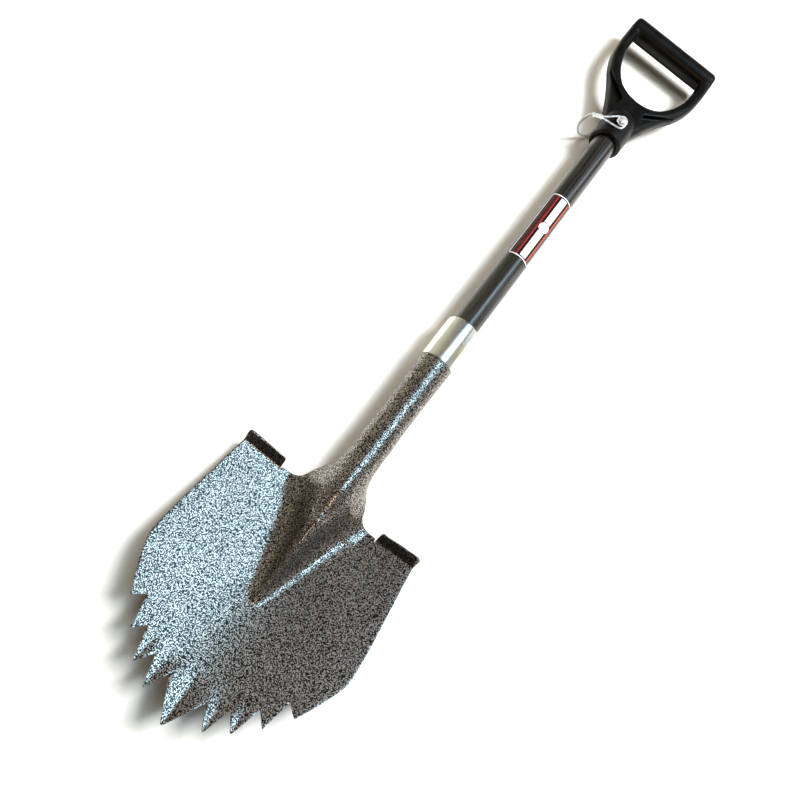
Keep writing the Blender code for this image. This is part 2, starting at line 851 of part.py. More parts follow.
def make_anchor(group, screw_mat):
    under = AXIS_Z - WEB_HALF
    washer_profile = [(2.2, 0.5), (6, 0.5), (6, -0.5), (2.2, -0.5)]
    washer = turned("anchor_washer", washer_profile, 28, group, screw_mat)
    at(washer, 0, ANCHOR_Y, under - GAP - 0.5)
    head_top = under - 5.0
    profile = [(0, 17), (1.8, 15.6), (1.8, 0), (4.0, 0), (3.8, -1.6), (2.2, -2.4), (0, -2.6)]
    screw = turned("anchor_screw", profile, 24, group, screw_mat)
    at(screw, 0, ANCHOR_Y, head_top)
    return washer, screw


def make_lanyard(group, steel, vinyl, alloy):
    make_rope(group, steel)
    make_sheath(group, vinyl)
    top, top_away, low, low_away = crimp_places()
    make_crimp("crimp_sleeve_pin", top, top_away, PIN_CRIMP_LENGTH, group, alloy)
    make_crimp("crimp_sleeve_anchor", low, low_away, ANCHOR_CRIMP_LENGTH, group, alloy)


def main():
    clear_scene()
    group = make_collection(COLLECTION)
    cutters = make_collection("cutters")
    powder = material("vein_powder_coat", (0.16, 0.15, 0.14), 0.35, 0.7)
    zinc = material("zinc_plate", (0.72, 0.73, 0.70), 0.28, 1.0)
    fibreglass = material("fibreglass", (0.03, 0.026, 0.024), 0.3, 0.0)
    film = material("label_film", (0.32, 0.02, 0.02), 0.35, 0.0)
    plastic = material("grip_plastic", (0.018, 0.016, 0.015), 0.42, 0.0)
    inner = material("inner_plastic", (0.25, 0.24, 0.22), 0.6, 0.0)
    steel = material("bright_steel", (0.75, 0.76, 0.78), 0.2, 1.0)
    vinyl = material("clear_vinyl", (0.55, 0.57, 0.58), 0.25, 0.0)
    alloy = material("crimp_alloy", (0.68, 0.68, 0.66), 0.35, 1.0)

    make_blade(group, cutters, powder)
    make_ferrule(group, zinc)
    make_shaft(group, cutters, fibreglass)
    make_core(group, cutters, inner)
    make_socket_screw(group, steel)
    make_end_cap(group, inner)
    make_label(group, film)
    make_guide_tube(group, steel)
    make_grip(group, cutters, plastic)
    make_pin(group, cutters, steel)
    make_ball("detent_ball_left", -1, group, steel)
    make_ball("detent_ball_right", 1, group, steel)
    make_detent_spring(group, steel)
    make_lanyard(group, steel, vinyl, alloy)
    make_anchor(group, steel)
    bpy.context.view_layer.update()


main()
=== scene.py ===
"""Looks of the serrated digging shovel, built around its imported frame.

Lengths inside the functions are in millimetres, in the frame's own axes: +Y along the shaft
towards the grip, +X to the right of the scoop, +Z up. MM turns them into metres.
"""

import math

import bmesh
import bpy
import numpy as np
from mathutils import Matrix, Vector
from mathutils.geometry import delaunay_2d_cdt, tessellate_polygon


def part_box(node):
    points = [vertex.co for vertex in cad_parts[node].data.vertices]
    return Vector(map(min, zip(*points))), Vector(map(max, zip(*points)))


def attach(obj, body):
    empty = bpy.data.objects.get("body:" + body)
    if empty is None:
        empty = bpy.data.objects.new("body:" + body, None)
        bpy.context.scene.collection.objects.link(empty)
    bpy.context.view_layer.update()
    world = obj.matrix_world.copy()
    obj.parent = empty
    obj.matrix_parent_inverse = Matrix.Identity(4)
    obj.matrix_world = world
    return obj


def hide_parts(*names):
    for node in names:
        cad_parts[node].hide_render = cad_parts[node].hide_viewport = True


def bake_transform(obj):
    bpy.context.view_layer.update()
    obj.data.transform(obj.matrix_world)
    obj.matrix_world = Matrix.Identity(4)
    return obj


MM = 0.001

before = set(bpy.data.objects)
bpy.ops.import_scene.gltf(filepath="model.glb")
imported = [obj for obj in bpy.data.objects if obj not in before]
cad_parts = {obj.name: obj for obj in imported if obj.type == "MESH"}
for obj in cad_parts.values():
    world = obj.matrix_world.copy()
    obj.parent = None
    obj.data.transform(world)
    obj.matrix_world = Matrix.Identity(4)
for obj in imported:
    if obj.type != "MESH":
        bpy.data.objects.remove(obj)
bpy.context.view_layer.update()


def millimetres(node):
    low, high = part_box(node)
    return low / MM, high / MM


BLADE_LOW, BLADE_HIGH = millimetres("blade_head")
FERRULE_LOW, FERRULE_HIGH = millimetres("ferrule")
SHAFT_LOW, SHAFT_HIGH = millimetres("shaft_tube")
LABEL_LOW, LABEL_HIGH = millimetres("shaft_label")
GRIP_LOW, GRIP_HIGH = millimetres("grip_moulding")
PIN_LOW, PIN_HIGH = millimetres("pin")
SOCKET_SCREW_LOW, SOCKET_SCREW_HIGH = millimetres("socket_screw")
ANCHOR_LOW, ANCHOR_HIGH = millimetres("anchor_screw")
WASHER_LOW, WASHER_HIGH = millimetres("anchor_washer")

AXIS_Z = (SHAFT_LOW.z + SHAFT_HIGH.z) / 2
SHAFT_R = (SHAFT_HIGH.x - SHAFT_LOW.x) / 2
SHAFT_BORE_R = SHAFT_R - 3.0
FERRULE_R = (FERRULE_HIGH.x - FERRULE_LOW.x) / 2
FERRULE_SPIGOT_R = 17.15
PIN_Y = (PIN_LOW.y + PIN_HIGH.y) / 2
HEAD_R = (PIN_HIGH.x - PIN_LOW.x) / 2
ANCHOR_Y = (ANCHOR_LOW.y + ANCHOR_HIGH.y) / 2
GRIP_HALF_WIDTH = GRIP_HIGH.x

# Blade sheet
TIP_Y = BLADE_LOW.y
LIP_Y = BLADE_HIGH.y
FROG_APEX_Y = TIP_Y + 126.0
SHOULDER_Y = TIP_Y + 253.5
NECK_Y = TIP_Y + 314.5
SHEET = 2.0
HEEL_Z = -4.3
LIFT = 0.10
SPOON = 0.00030
DISH = 0.19
FROG_HALF_WIDTH = 57.5
FROG_TIP_HALF_WIDTH = 9.0
CREST_Z = 45.5
CREST_ROUND = 0.10
THROAT_ROUND = 0.70
FLANK_POWER = 2.7
THROAT_X = 38.0
THROAT_RISE = 9.0
STEP_X = (64.0, 112.3)
STEP_BEND_R = 4.0
STEP_ANGLE = math.radians(66)
STEP_FLAT = 14.0
STEP_SET_BACK = 3.6
STEP_CORNER = 4.5
STEP_STRIDE = 2.0
RELIEF_X = 62.4
REAR_FADE = 30.0
SEAM_HALF_ANGLE = math.radians(10)
SOCKET_LIP_R = 19.8
SOCKET_WAIST_R = 18.3
SOCKET_WAIST_Y = TIP_Y + 370.5
SOCKET_NECK_R = 20.0
EDGE_ROUND = 0.45
GRID = 2.2
SOCKET_COLUMNS = 30

# Creased teeth: tip's distance from the centre line and from the blade's tip, then the
# crease's length, half width and slope
CREASES = [(0.0, 0.0, 62.0, 17.0, 0.30), (34.0, 15.0, 34.0, 9.0, 0.30), (56.0, 28.0, 34.0, 9.0, 0.26)]

# Grip
WEB_HALF = 10.5
NECK_R = GRIP_HIGH.z - AXIS_Z
BAR_R = 14.5
WEB_ROUND = 7.2
WEB_RINGS = 5
POCKET_DEPTH = 7.0
VOXEL = 0.9

# Lanyard
ROPE_R = 1.25
STRAND_R = 0.44
STRAND_LAY = 9.0
ROPE_HALF_PITCH = 1.35
SHEATH_R = 1.8
EYE_Z = 51.6
EYE_HALF_WIDTH = 8.6
ROPE_STEP = 0.45
SHEATH_STEP = 0.8
EYE_CENTRE = Vector((-2.4, PIN_Y - 1.0, EYE_Z))
EYE_AWAY = Vector((-0.90, -0.42, -0.06)).normalized()
PIN_CRIMP = EYE_CENTRE + EYE_AWAY * 30.0
ANCHOR_EYE_CENTRE = Vector((0, ANCHOR_Y, AXIS_Z - WEB_HALF - 3.2))
ANCHOR_AWAY = Vector((-0.72, -0.68, -0.08)).normalized()
ANCHOR_CRIMP = ANCHOR_EYE_CENTRE + ANCHOR_AWAY * 17.0

# Label film, round the shaft's top and a little to the right
LABEL_MIDDLE = math.radians(6)
LABEL_REACH = math.radians(58)
LABEL_R = SHAFT_R + 0.3
LABEL_WIDTH = 2 * LABEL_REACH * LABEL_R
LABEL_LENGTH = LABEL_HIGH.y - LABEL_LOW.y

# Camera: places in metres, heading anticlockwise from +Y, lens in millimetres
CAMERA_PLACE = Vector((-0.0187, -0.3543, 0.7136))
CAMERA_AIM = Vector((-0.0070, -0.1256, 0.0))
CAMERA_HEADING = math.radians(36.35)
CAMERA_LENS = 29.58

ALONG_X = Matrix.Rotation(math.pi / 2, 4, "Y")
ALONG_Y = Matrix.Rotation(-math.pi / 2, 4, "X")


# ---- node helpers


def feed(tree, socket, value):
    """Links another node's output to a socket, or sets the socket to a value."""
    if isinstance(value, bpy.types.NodeSocket):
        tree.links.new(value, socket)
    elif socket.type == "RGBA":
        socket.default_value = (*value, 1.0)
    else:
        socket.default_value = value


def add_node(tree, kind, inputs=None, **settings):
    made = tree.nodes.new(kind)
    for key, value in settings.items():
        setattr(made, key, value)
    for key, value in (inputs or {}).items():
        feed(tree, made.inputs[key], value)
    return made


def material(name, recipe, *details):
    """A new material. The recipe returns its shader's inputs, with underscores for spaces."""
    made = bpy.data.materials.new(name)
    made.use_nodes = True
    tree = made.node_tree
    shader = tree.nodes["Principled BSDF"]
    for key, value in recipe(tree, *details).items():
        feed(tree, shader.inputs[key.replace("_", " ")], value)
    return made


def object_point(tree, stretch=(1, 1, 1)):
    """Object coordinates in metres, scaled by stretch."""
    source = add_node(tree, "ShaderNodeTexCoord").outputs["Object"]
    if stretch == (1, 1, 1):
        return source
    scaled = add_node(tree, "ShaderNodeVectorMath", {0: source, 1: stretch}, operation="MULTIPLY")
    return scaled.outputs[0]


def noise(tree, point, scale, detail=2.0, roughness=0.5, distortion=0.0):
    values = dict(Vector=point, Scale=scale, Detail=detail, Roughness=roughness, Distortion=distortion)
    return add_node(tree, "ShaderNodeTexNoise", values).outputs["Fac"]


def spread(tree, value, low, high, out_low=0.0, out_high=1.0):
    """Maps low..high to out_low..out_high, clamped and eased at both ends."""
    values = {"Value": value, "From Min": low, "From Max": high, "To Min": out_low, "To Max": out_high}
    made = add_node(tree, "ShaderNodeMapRange", values, interpolation_type="SMOOTHSTEP")
    return made.outputs["Result"]


def mix(tree, share, first, second):
    return add_node(tree, "ShaderNodeMix", {0: share, 6: first, 7: second}, data_type="RGBA").outputs[2]


def maths(tree, operation, first, second=0.0):
    return add_node(tree, "ShaderNodeMath", {0: first, 1: second}, operation=operation).outputs[0]


def product(tree, first, second):
    return maths(tree, "MULTIPLY", first, second)


def bump(tree, height, depth, strength=1.0, normal=None):
    """A bump whose full height is depth millimetres."""
    values = {"Height": height, "Distance": depth * MM, "Strength": strength}
    if normal:
        values["Normal"] = normal
    return add_node(tree, "ShaderNodeBump", values).outputs["Normal"]


# ---- materials


def powder_coat(tree):
    """Glossy vein coat: silver flake ground, black worm-shaped spots, clear top."""
    point = object_point(tree)
    veins = noise(tree, point, 900.0, detail=0.4, roughness=0.4, distortion=0.25)
    silver = spread(tree, veins, 0.525, 0.57)
    clouds = noise(tree, point, 14.0, detail=3.0)
    flakes = noise(tree, point, 2600.0, detail=1.0)
    cloud_tone = spread(tree, clouds, 0.3, 0.7, 0.0, 0.5)
    flake_tone = spread(tree, flakes, 0.3, 0.7, 0.0, 0.5)
    tone = maths(tree, "ADD", cloud_tone, flake_tone)
    bright = mix(tree, tone, (0.45, 0.39, 0.345), (0.63, 0.57, 0.52))
    colour = mix(tree, silver, (0.0035, 0.003, 0.003), bright)
    relief = bump(tree, silver, 0.04, 0.35)
    relief = bump(tree, clouds, 0.25, 0.25, relief)
    return dict(
        Base_Color=colour,
        Metallic=spread(tree, silver, 0.0, 1.0, 0.0, 0.95),
        Roughness=spread(tree, silver, 0.0, 1.0, 0.20, 0.32),
        Normal=relief,
        Specular_IOR_Level=0.25,
        Coat_Weight=0.05,
        Coat_Roughness=0.12,
    )


def zinc_plate(tree):
    """Bright zinc with lengthwise brushing and faint yellow and blue passivation tints."""
    brushed = noise(tree, object_point(tree, (1, 0.03, 1)), 1500.0, detail=4.0, roughness=0.6)
    bands = noise(tree, object_point(tree, (1, 0.05, 1)), 190.0, detail=2.0)
    tint = noise(tree, object_point(tree), 55.0, detail=2.0)
    warm = mix(tree, spread(tree, tint, 0.42, 0.6), (0.86, 0.88, 0.86), (0.90, 0.85, 0.68))
    dull = spread(tree, noise(tree, object_point(tree), 210.0, detail=5.0), 0.55, 0.75)
    colour = mix(tree, product(tree, dull, 0.5), warm, (0.42, 0.42, 0.40))
    roughness = spread(tree, bands, 0.3, 0.7, 0.20, 0.40)
    return dict(
        Base_Color=colour,
        Metallic=1.0,
        Roughness=roughness,
        Normal=bump(tree, brushed, 0.03, 0.5),
    )


def fibreglass(tree):
    """Semi-gloss dark pultruded tube: fibres show as fine lengthwise streaks."""
    fine = noise(tree, object_point(tree, (1, 0.012, 1)), 2200.0, detail=3.0)
    broad = noise(tree, object_point(tree, (1, 0.03, 1)), 420.0, detail=3.0)
    streak = spread(tree, fine, 0.38, 0.68)
    base = mix(tree, spread(tree, broad, 0.35, 0.65), (0.006, 0.005, 0.0045), (0.017, 0.0145, 0.0125))
    colour = mix(tree, product(tree, streak, 0.35), base, (0.040, 0.035, 0.031))
    relief = bump(tree, fine, 0.02, 0.35)
    relief = bump(tree, broad, 0.05, 0.4, relief)
    return dict(
        Base_Color=colour,
        Roughness=spread(tree, broad, 0.3, 0.7, 0.22, 0.34),
        Normal=relief,
        Coat_Weight=0.25,
        Coat_Roughness=0.10,
    )


def moulded_plastic(tree):
    """Satin black moulding: fine spark-eroded grain, a mould line and handling polish."""
    point = object_point(tree)
    grain = noise(tree, point, 2600.0, detail=2.0)
    patches = noise(tree, point, 45.0, detail=4.0)
    height = add_node(tree, "ShaderNodeSeparateXYZ", {0: point}).outputs[2]
    off_line = maths(tree, "ABSOLUTE", maths(tree, "SUBTRACT", height, AXIS_Z * MM))
    mould_line = spread(tree, off_line, 0.0, 0.35 * MM, 1.0, 0.0)
    patch = spread(tree, patches, 0.35, 0.65)
    colour = mix(tree, patch, (0.0016, 0.0013, 0.0011), (0.0040, 0.0030, 0.0025))
    relief = bump(tree, grain, 0.03, 0.45)
    relief = bump(tree, mould_line, 0.12, 0.6, relief)
    return dict(
        Base_Color=colour,
        Roughness=spread(tree, patches, 0.3, 0.7, 0.33, 0.46),
        Specular_IOR_Level=0.2,
        Normal=relief,
    )


def bright_metal(tree, colour, low, high):
    """Plated steel or soft alloy with fine scratches and slight tarnish."""
    point = object_point(tree)
    scratches = noise(tree, point, 2400.0, detail=3.0, distortion=1.5)
    tarnish = spread(tree, noise(tree, point, 260.0, detail=4.0), 0.5, 0.75)
    shade = tuple(c * 0.62 for c in colour)
    return dict(
        Base_Color=mix(tree, tarnish, colour, shade),
        Metallic=0.68,
        Roughness=spread(tree, scratches, 0.3, 0.7, low, high),
        Normal=bump(tree, scratches, 0.01, 0.3),
    )


def clear_vinyl(tree):
    """Grey-clear sleeve over the rope, slightly cloudy."""
    clouds = noise(tree, object_point(tree), 320.0, detail=3.0)
    colour = mix(tree, spread(tree, clouds, 0.35, 0.65), (0.66, 0.70, 0.72), (0.82, 0.84, 0.84))
    return dict(
        Base_Color=colour,
        Roughness=spread(tree, clouds, 0.3, 0.7, 0.12, 0.26),
        Transmission_Weight=0.15,
        IOR=1.5,
        Normal=bump(tree, clouds, 0.05, 0.3),
    )


def hidden_plastic(tree):
    flow = noise(tree, object_point(tree), 90.0, detail=4.0)
    colour = mix(tree, spread(tree, flow, 0.35, 0.65), (0.20, 0.19, 0.175), (0.29, 0.28, 0.26))
    return dict(Base_Color=colour, Roughness=0.55, Normal=bump(tree, flow, 0.05, 0.4))


def label_print(tree):
    """Dark field with two red stripes, a white band broken by a plain disc, and a white border."""
    uv = add_node(tree, "ShaderNodeUVMap", uv_map="print").outputs["UV"]
    parts = add_node(tree, "ShaderNodeSeparateXYZ", {0: uv})
    across, along = parts.outputs[0], parts.outputs[1]
    weave = noise(tree, object_point(tree), 900.0, detail=2.0)
    field = mix(tree, spread(tree, weave, 0.4, 0.6), (0.008, 0.003, 0.003), (0.060, 0.010, 0.011))
    colour = field
    stripes = (
        (0.34, 1.0, (0.006, 0.003, 0.003)),
        (0.275, 0.325, (0.30, 0.022, 0.024)),
        (0.775, 0.84, (0.40, 0.050, 0.022)),
    )
    for low, high, ink in stripes:
        colour = mix(tree, band(tree, across, low, high), colour, ink)
    strip = product(tree, band(tree, across, 0.42, 0.68), band(tree, along, 0.03, 0.97))
    aside = product(tree, maths(tree, "SUBTRACT", across, 0.55), LABEL_WIDTH)
    ahead = product(tree, maths(tree, "SUBTRACT", along, 0.5), LABEL_LENGTH)
    from_centre = add_node(tree, "ShaderNodeCombineXYZ", {0: aside, 1: ahead})
    radius = add_node(tree, "ShaderNodeVectorMath", {0: from_centre.outputs[0]}, operation="LENGTH")
    radius = radius.outputs["Value"]
    disc = spread(tree, radius, 7.9, 8.1, 1.0, 0.0)
    inner = product(tree, disc, spread(tree, radius, 6.9, 7.1, 1.0, 0.0))
    colour = mix(tree, maths(tree, "MAXIMUM", strip, disc), colour, (0.008, 0.003, 0.003))
    white = maths(tree, "MAXIMUM", maths(tree, "SUBTRACT", strip, product(tree, strip, disc)), inner)
    colour = mix(tree, white, colour, (0.74, 0.74, 0.75))
    inside = product(tree, band(tree, across, 0.028, 0.972), band(tree, along, 0.012, 0.988))
    colour = mix(tree, inside, (0.82, 0.81, 0.80), colour)
    return dict(
        Base_Color=colour,
        Roughness=spread(tree, weave, 0.3, 0.7, 0.24, 0.34),
        Coat_Weight=0.3,
        Normal=bump(tree, weave, 0.01, 0.3),
    )


def band(tree, value, low, high):
    """1 between low and high, with an edge of about a tenth of a millimetre."""
    soft = 0.0022
    rise = spread(tree, value, low - soft, low + soft)
    fall = spread(tree, value, high - soft, high + soft)
    return maths(tree, "SUBTRACT", rise, fall)


def pale_floor(tree):
    marks = noise(tree, object_point(tree), 5.0, detail=5.0)
    colour = mix(tree, spread(tree, marks, 0.3, 0.7), (0.84, 0.825, 0.79), (0.87, 0.86, 0.835))
    return dict(Base_Color=colour, Roughness=0.7, Normal=bump(tree, marks, 0.4, 0.2))


# ---- mesh helpers


def link_object(name, data, mat=None):
    """A new object in the scene; mat is for meshes only."""
    made = bpy.data.objects.new(name, data)
    bpy.context.scene.collection.objects.link(made)
    if mat:
        data.materials.clear()
        data.materials.append(mat)
    return made


def shade(data, sharp):
    """Smooth shading, with edges sharper than an angle in degrees kept."""
    data.shade_smooth()
    data.set_sharp_from_angle(angle=math.radians(sharp))


def assign(made, body, node):
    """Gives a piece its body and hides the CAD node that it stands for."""
    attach(made, body)
    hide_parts(node)


def finish_mesh(name, shape, mat=None, sharp=35):
    """Writes a bmesh to a new smooth-shaded object and frees it."""
    data = bpy.data.meshes.new(name)
    bmesh.ops.recalc_face_normals(shape, faces=shape.faces)
    shape.to_mesh(data)
    shape.free()
    shade(data, sharp)
    return link_object(name, data, mat)


def bake(made, sharp=35):
    """Replaces an object's mesh by its evaluated one, so no modifier is left."""
    bpy.context.view_layer.update()
    graph = bpy.context.evaluated_depsgraph_get()
    data = bpy.data.meshes.new_from_object(made.evaluated_get(graph))
    made.modifiers.clear()
    made.data = data
    shade(data, sharp)
    return made


def discard(*items):
    for item in items:
        bpy.data.objects.remove(item, do_unlink=True)


def cut(target, tools):
    """Subtracts the tools one after another, exactly, and removes them."""
    for tool in tools:
        step = target.modifiers.new(tool.name, "BOOLEAN")
        step.operation = "DIFFERENCE"
        step.object = tool
        step.solver = "EXACT"
    bake(target)
    discard(*tools)


def turn(name, profile, steps, mat=None):
    """A closed or axis-to-axis profile of (radius, height) points, turned about local Z."""
    shape = bmesh.new()
    rings = []
    for radius, height in profile:
        if radius == 0:
            rings.append([shape.verts.new((0, 0, height * MM))] * steps)
            continue
        turns = [math.tau * i / steps for i in range(steps)]
        places = [(radius * math.cos(t) * MM, radius * math.sin(t) * MM, height * MM) for t in turns]
        rings.append([shape.verts.new(place) for place in places])
    pairs = list(zip(rings, rings[1:]))
    if profile[0][0] > 0 and profile[-1][0] > 0:
        pairs.append((rings[-1], rings[0]))
    for low, high in pairs:
        for i in range(steps):
            k = (i + 1) % steps
            corners = list(dict.fromkeys((low[i], low[k], high[k], high[i])))
            shape.faces.new(corners)
    return finish_mesh(name, shape, mat)


def rounded_profile(points, radii, count=4):
    """Replaces each inner corner of an open profile by an arc-like curve of the given size."""
    out = [points[0]]
    for before, corner, after, size in zip(points, points[1:], points[2:], radii):
        a, b, c = Vector(before), Vector(corner), Vector(after)
        if size == 0:
            out.append(corner)
            continue
        start = b + (a - b).normalized() * min(size, (a - b).length * 0.49)
        end = b + (c - b).normalized() * min(size, (c - b).length * 0.49)
        for i in range(count + 1):
            t = i / count
            p = start * (1 - t) ** 2 + b * 2 * t * (1 - t) + end * t**2
            out.append((p.x, p.y))
    out.append(points[-1])
    return out


def rod(name, radius, half, steps):
    """A cylinder about local Z that reaches half above and half below its middle."""
    return turn(name, [(0, half), (radius, half), (radius, -half), (0, -half)], steps)


def at(made, x, y, z, turned=Matrix.Identity(4)):
    """Turns and moves the vertices; the origin stays, so textures sit in the frame's axes."""
    made.data.transform(Matrix.Translation(Vector((x, y, z)) * MM) @ turned)
    return made


def smooth_path(points, per_span):
    """Catmull-Rom points through the given ones."""
    padded = [2 * points[0] - points[1], *points, 2 * points[-1] - points[-2]]
    out = []
    for i in range(len(points) - 1):
        a, b, c, d = padded[i : i + 4]
        for k in range(per_span):
            t = k / per_span
            linear = (c - a) * t
            square = (2 * a - 5 * b + 4 * c - d) * t**2
            cube = (3 * b - a - 3 * c + d) * t**3
            out.append(0.5 * (2 * b + linear + square + cube))
    out.append(points[-1].copy())
    return out


def even_path(points, step):
    """The same polyline with points every step millimetres."""
    out = [points[0].copy()]
    carried = 0.0
    for a, b in zip(points, points[1:]):
        length = (b - a).length
        reach = step - carried
        while reach <= length:
            out.append(a + (b - a) * (reach / length))
            reach += step
        carried = length - (reach - step)
    return out


def join_rows(shape, low, high, closed=True):
    """Quads between two rows of vertices."""
    for i in range(len(low) if closed else len(low) - 1):
        k = (i + 1) % len(low)
        shape.faces.new((low[i], low[k], high[k], high[i]))


def capped_loft(name, loops):
    """Closed (x, y, z) loops of equal length joined in order, with both ends closed."""
    shape = bmesh.new()
    rows = [[shape.verts.new(Vector(point) * MM) for point in loop] for loop in loops]
    for low, high in zip(rows, rows[1:]):
        join_rows(shape, low, high)
    for row in (rows[0], rows[-1]):
        for corners in tessellate_polygon([[vert.co for vert in row]]):
            shape.faces.new([row[i] for i in corners])
    return finish_mesh(name, shape)


def path_frames(path):
    """Two directions across the path at each point, carried along without twist."""
    across = []
    tangent = (path[1] - path[0]).normalized()
    side = tangent.orthogonal().normalized()
    for i in range(len(path)):
        ahead = path[min(i + 1, len(path) - 1)] - path[max(i - 1, 0)]
        tangent = ahead.normalized()
        side = (side - tangent * side.dot(tangent)).normalized()
        across.append((side.copy(), tangent.cross(side).normalized()))
    return across


def sweep(shape, path, radius, sides):
    """Adds a capped round tube along a path to a bmesh; radius is a number or a function of i."""
    frames = path_frames(path)
    rings = []
    for i, (place, (u, v)) in enumerate(zip(path, frames)):
        r = radius(i) if callable(radius) else radius
        ring = []
        for k in range(sides):
            angle = math.tau * k / sides
            ring.append(shape.verts.new((place + (u * math.cos(angle) + v * math.sin(angle)) * r) * MM))
        rings.append(ring)
    for low, high in zip(rings, rings[1:]):
        join_rows(shape, low, high)
    shape.faces.new(list(reversed(rings[0])))
    shape.faces.new(rings[-1])


# ---- blade head


def frog_share(y):
    """0 at the shoulder line, 1 at the frog's apex and beyond."""
    return min(1.0, max(0.0, (SHOULDER_Y - y) / (SHOULDER_Y - FROG_APEX_Y)))


def sheet_z(x, y):
    """Upper face without the frog: lifted, spooned and dished."""
    run = max(0.0, SHOULDER_Y - y)
    share = run / (SHOULDER_Y - TIP_Y)
    soft = 25.0 + 35.0 * share
    return HEEL_Z + LIFT * run + SPOON * run**2 + DISH * (math.hypot(x, soft) - soft)


def frog_profile(reach, share):
    """Height across the frog's half width: a crest, round at the throat and narrower towards
    the apex, whose flanks run out into the sheet."""
    soft = CREST_ROUND + (THROAT_ROUND - CREST_ROUND) * math.exp(-share / 0.16)
    eased = math.hypot(reach, soft) - soft
    eased = min(1.0, eased / (math.hypot(1, soft) - soft))
    return (1 - eased) ** FLANK_POWER


def crease_z(x, y):
    """Lift of the creased teeth: a V whose fold line stays on the sheet."""
    lift = 0.0
    for tip_x, back, length, half, slope in CREASES:
        inward = (y - TIP_Y - back) / length
        if inward >= 1:
            continue
        across = abs(abs(x) - tip_x) / half
        fade = 1 - max(0.0, inward)
        lift += slope * half * across * math.exp(-((across / 1.35) ** 6)) * fade * fade * (3 - 2 * fade)
    return lift


def blade_z(x, y):
    share = frog_share(y)
    width = FROG_HALF_WIDTH + (FROG_TIP_HALF_WIDTH - FROG_HALF_WIDTH) * share
    crest = CREST_Z + (sheet_z(0, FROG_APEX_Y) - CREST_Z) * share
    rise = max(0.0, crest - sheet_z(0, y))
    reach = min(1.0, abs(x) / width)
    return sheet_z(x, y) + rise * frog_profile(reach, share) + crease_z(x, y)


def rear_shift(x):
    """Rear edge against the shoulder line: up at the throat, back at the step."""
    if x > RELIEF_X:
        return -STEP_SET_BACK
    return THROAT_RISE * math.exp(-max(0.0, x - THROAT_X) / 6.0)


def sheet_point(x, place_y):
    """A point of the upper face; near the rear edge rows bend with the edge."""
    shift = rear_shift(min(abs(x), STEP_X[1]))
    if abs(x) > RELIEF_X:
        y = min(place_y, SHOULDER_Y)
    else:
        run = (SHOULDER_Y + shift - place_y) / (1 + shift / REAR_FADE)
        y = SHOULDER_Y - run if run < REAR_FADE else place_y
    return Vector((x, place_y, blade_z(x, y)))


def subdivided(points, step):
    """Adds points so that no span is longer than step; the last point is kept."""
    out = []
    for a, b in zip(points, points[1:]):
        count = max(1, math.ceil((b - a).length / step))
        out += [a + (b - a) * (i / count) for i in range(count)]
    out.append(points[-1])
    return out


def plan_outline():
    """Right half of the plan, anticlockwise from the tip to the throat's base on the centre line."""
    teeth = [(0, 1.0), (1.2, 2.0), (22, 37), (34, 15), (43.5, 44), (56, 28), (66, 58.6), (77.5, 47)]
    side = [(85, 79), (97, 70), (109, 92), (117, 109), (122.5, 124), (121, 160)]
    corner = (STEP_X[1], SHOULDER_Y - TIP_Y - STEP_SET_BACK)
    points = [(x, TIP_Y + back) for x, back in [*teeth, *side, corner]]
    rounds = [1.0] * 7 + [1.3] * 2 + [14.0, 10.0, 9.0, 6.0]
    flank = [Vector(p) for p in rounded_profile(points, rounds, 5)]
    step = [Vector((STEP_X[1], SHOULDER_Y - STEP_SET_BACK)), Vector((STEP_X[0], SHOULDER_Y - STEP_SET_BACK))]
    notch = Vector((RELIEF_X, SHOULDER_Y + rear_shift(RELIEF_X)))
    rise = [Vector((x, SHOULDER_Y + rear_shift(x))) for x in np.linspace(RELIEF_X, THROAT_X, 16)[1:]]
    flank_edge = subdivided(flank, 1.6)
    step_edge = subdivided(step, STEP_STRIDE)
    notch_edge = subdivided([step[1], notch], 1.2)
    return flank_edge, step_edge, notch_edge, rise


def base_row():
    """Points of the throat's first section, from the centre line out."""
    return [
        Vector((THROAT_X * i / SOCKET_COLUMNS, SHOULDER_Y + THROAT_RISE))
        for i in range(SOCKET_COLUMNS + 1)
    ]


def inside(polygon, points):
    """Which points lie inside a polygon, both as arrays."""
    hit = np.zeros(len(points), bool)
    x, y = points[:, 0], points[:, 1]
    for (x1, y1), (x2, y2) in zip(polygon, np.roll(polygon, -1, axis=0)):
        crosses = (y1 > y) != (y2 > y)
        slope = (x2 - x1) / (y2 - y1) if y2 != y1 else 0.0
        hit ^= crosses & (x < (y - y1) * slope + x1)
    return hit


def clear_of(points, others, distance):
    keep = np.ones(len(points), bool)
    for other in others:
        keep &= ((points - other) ** 2).sum(1) > distance**2
    return keep


def crease_lines():
    """Fold lines of the side teeth, as point lists."""
    lines = []
    for tip_x, back, length, _half, _slope in CREASES[1:]:
        start = TIP_Y + back + 2.5
        lines.append(subdivided([Vector((tip_x, start)), Vector((tip_x, start + length * 0.8))], GRID))
    return lines


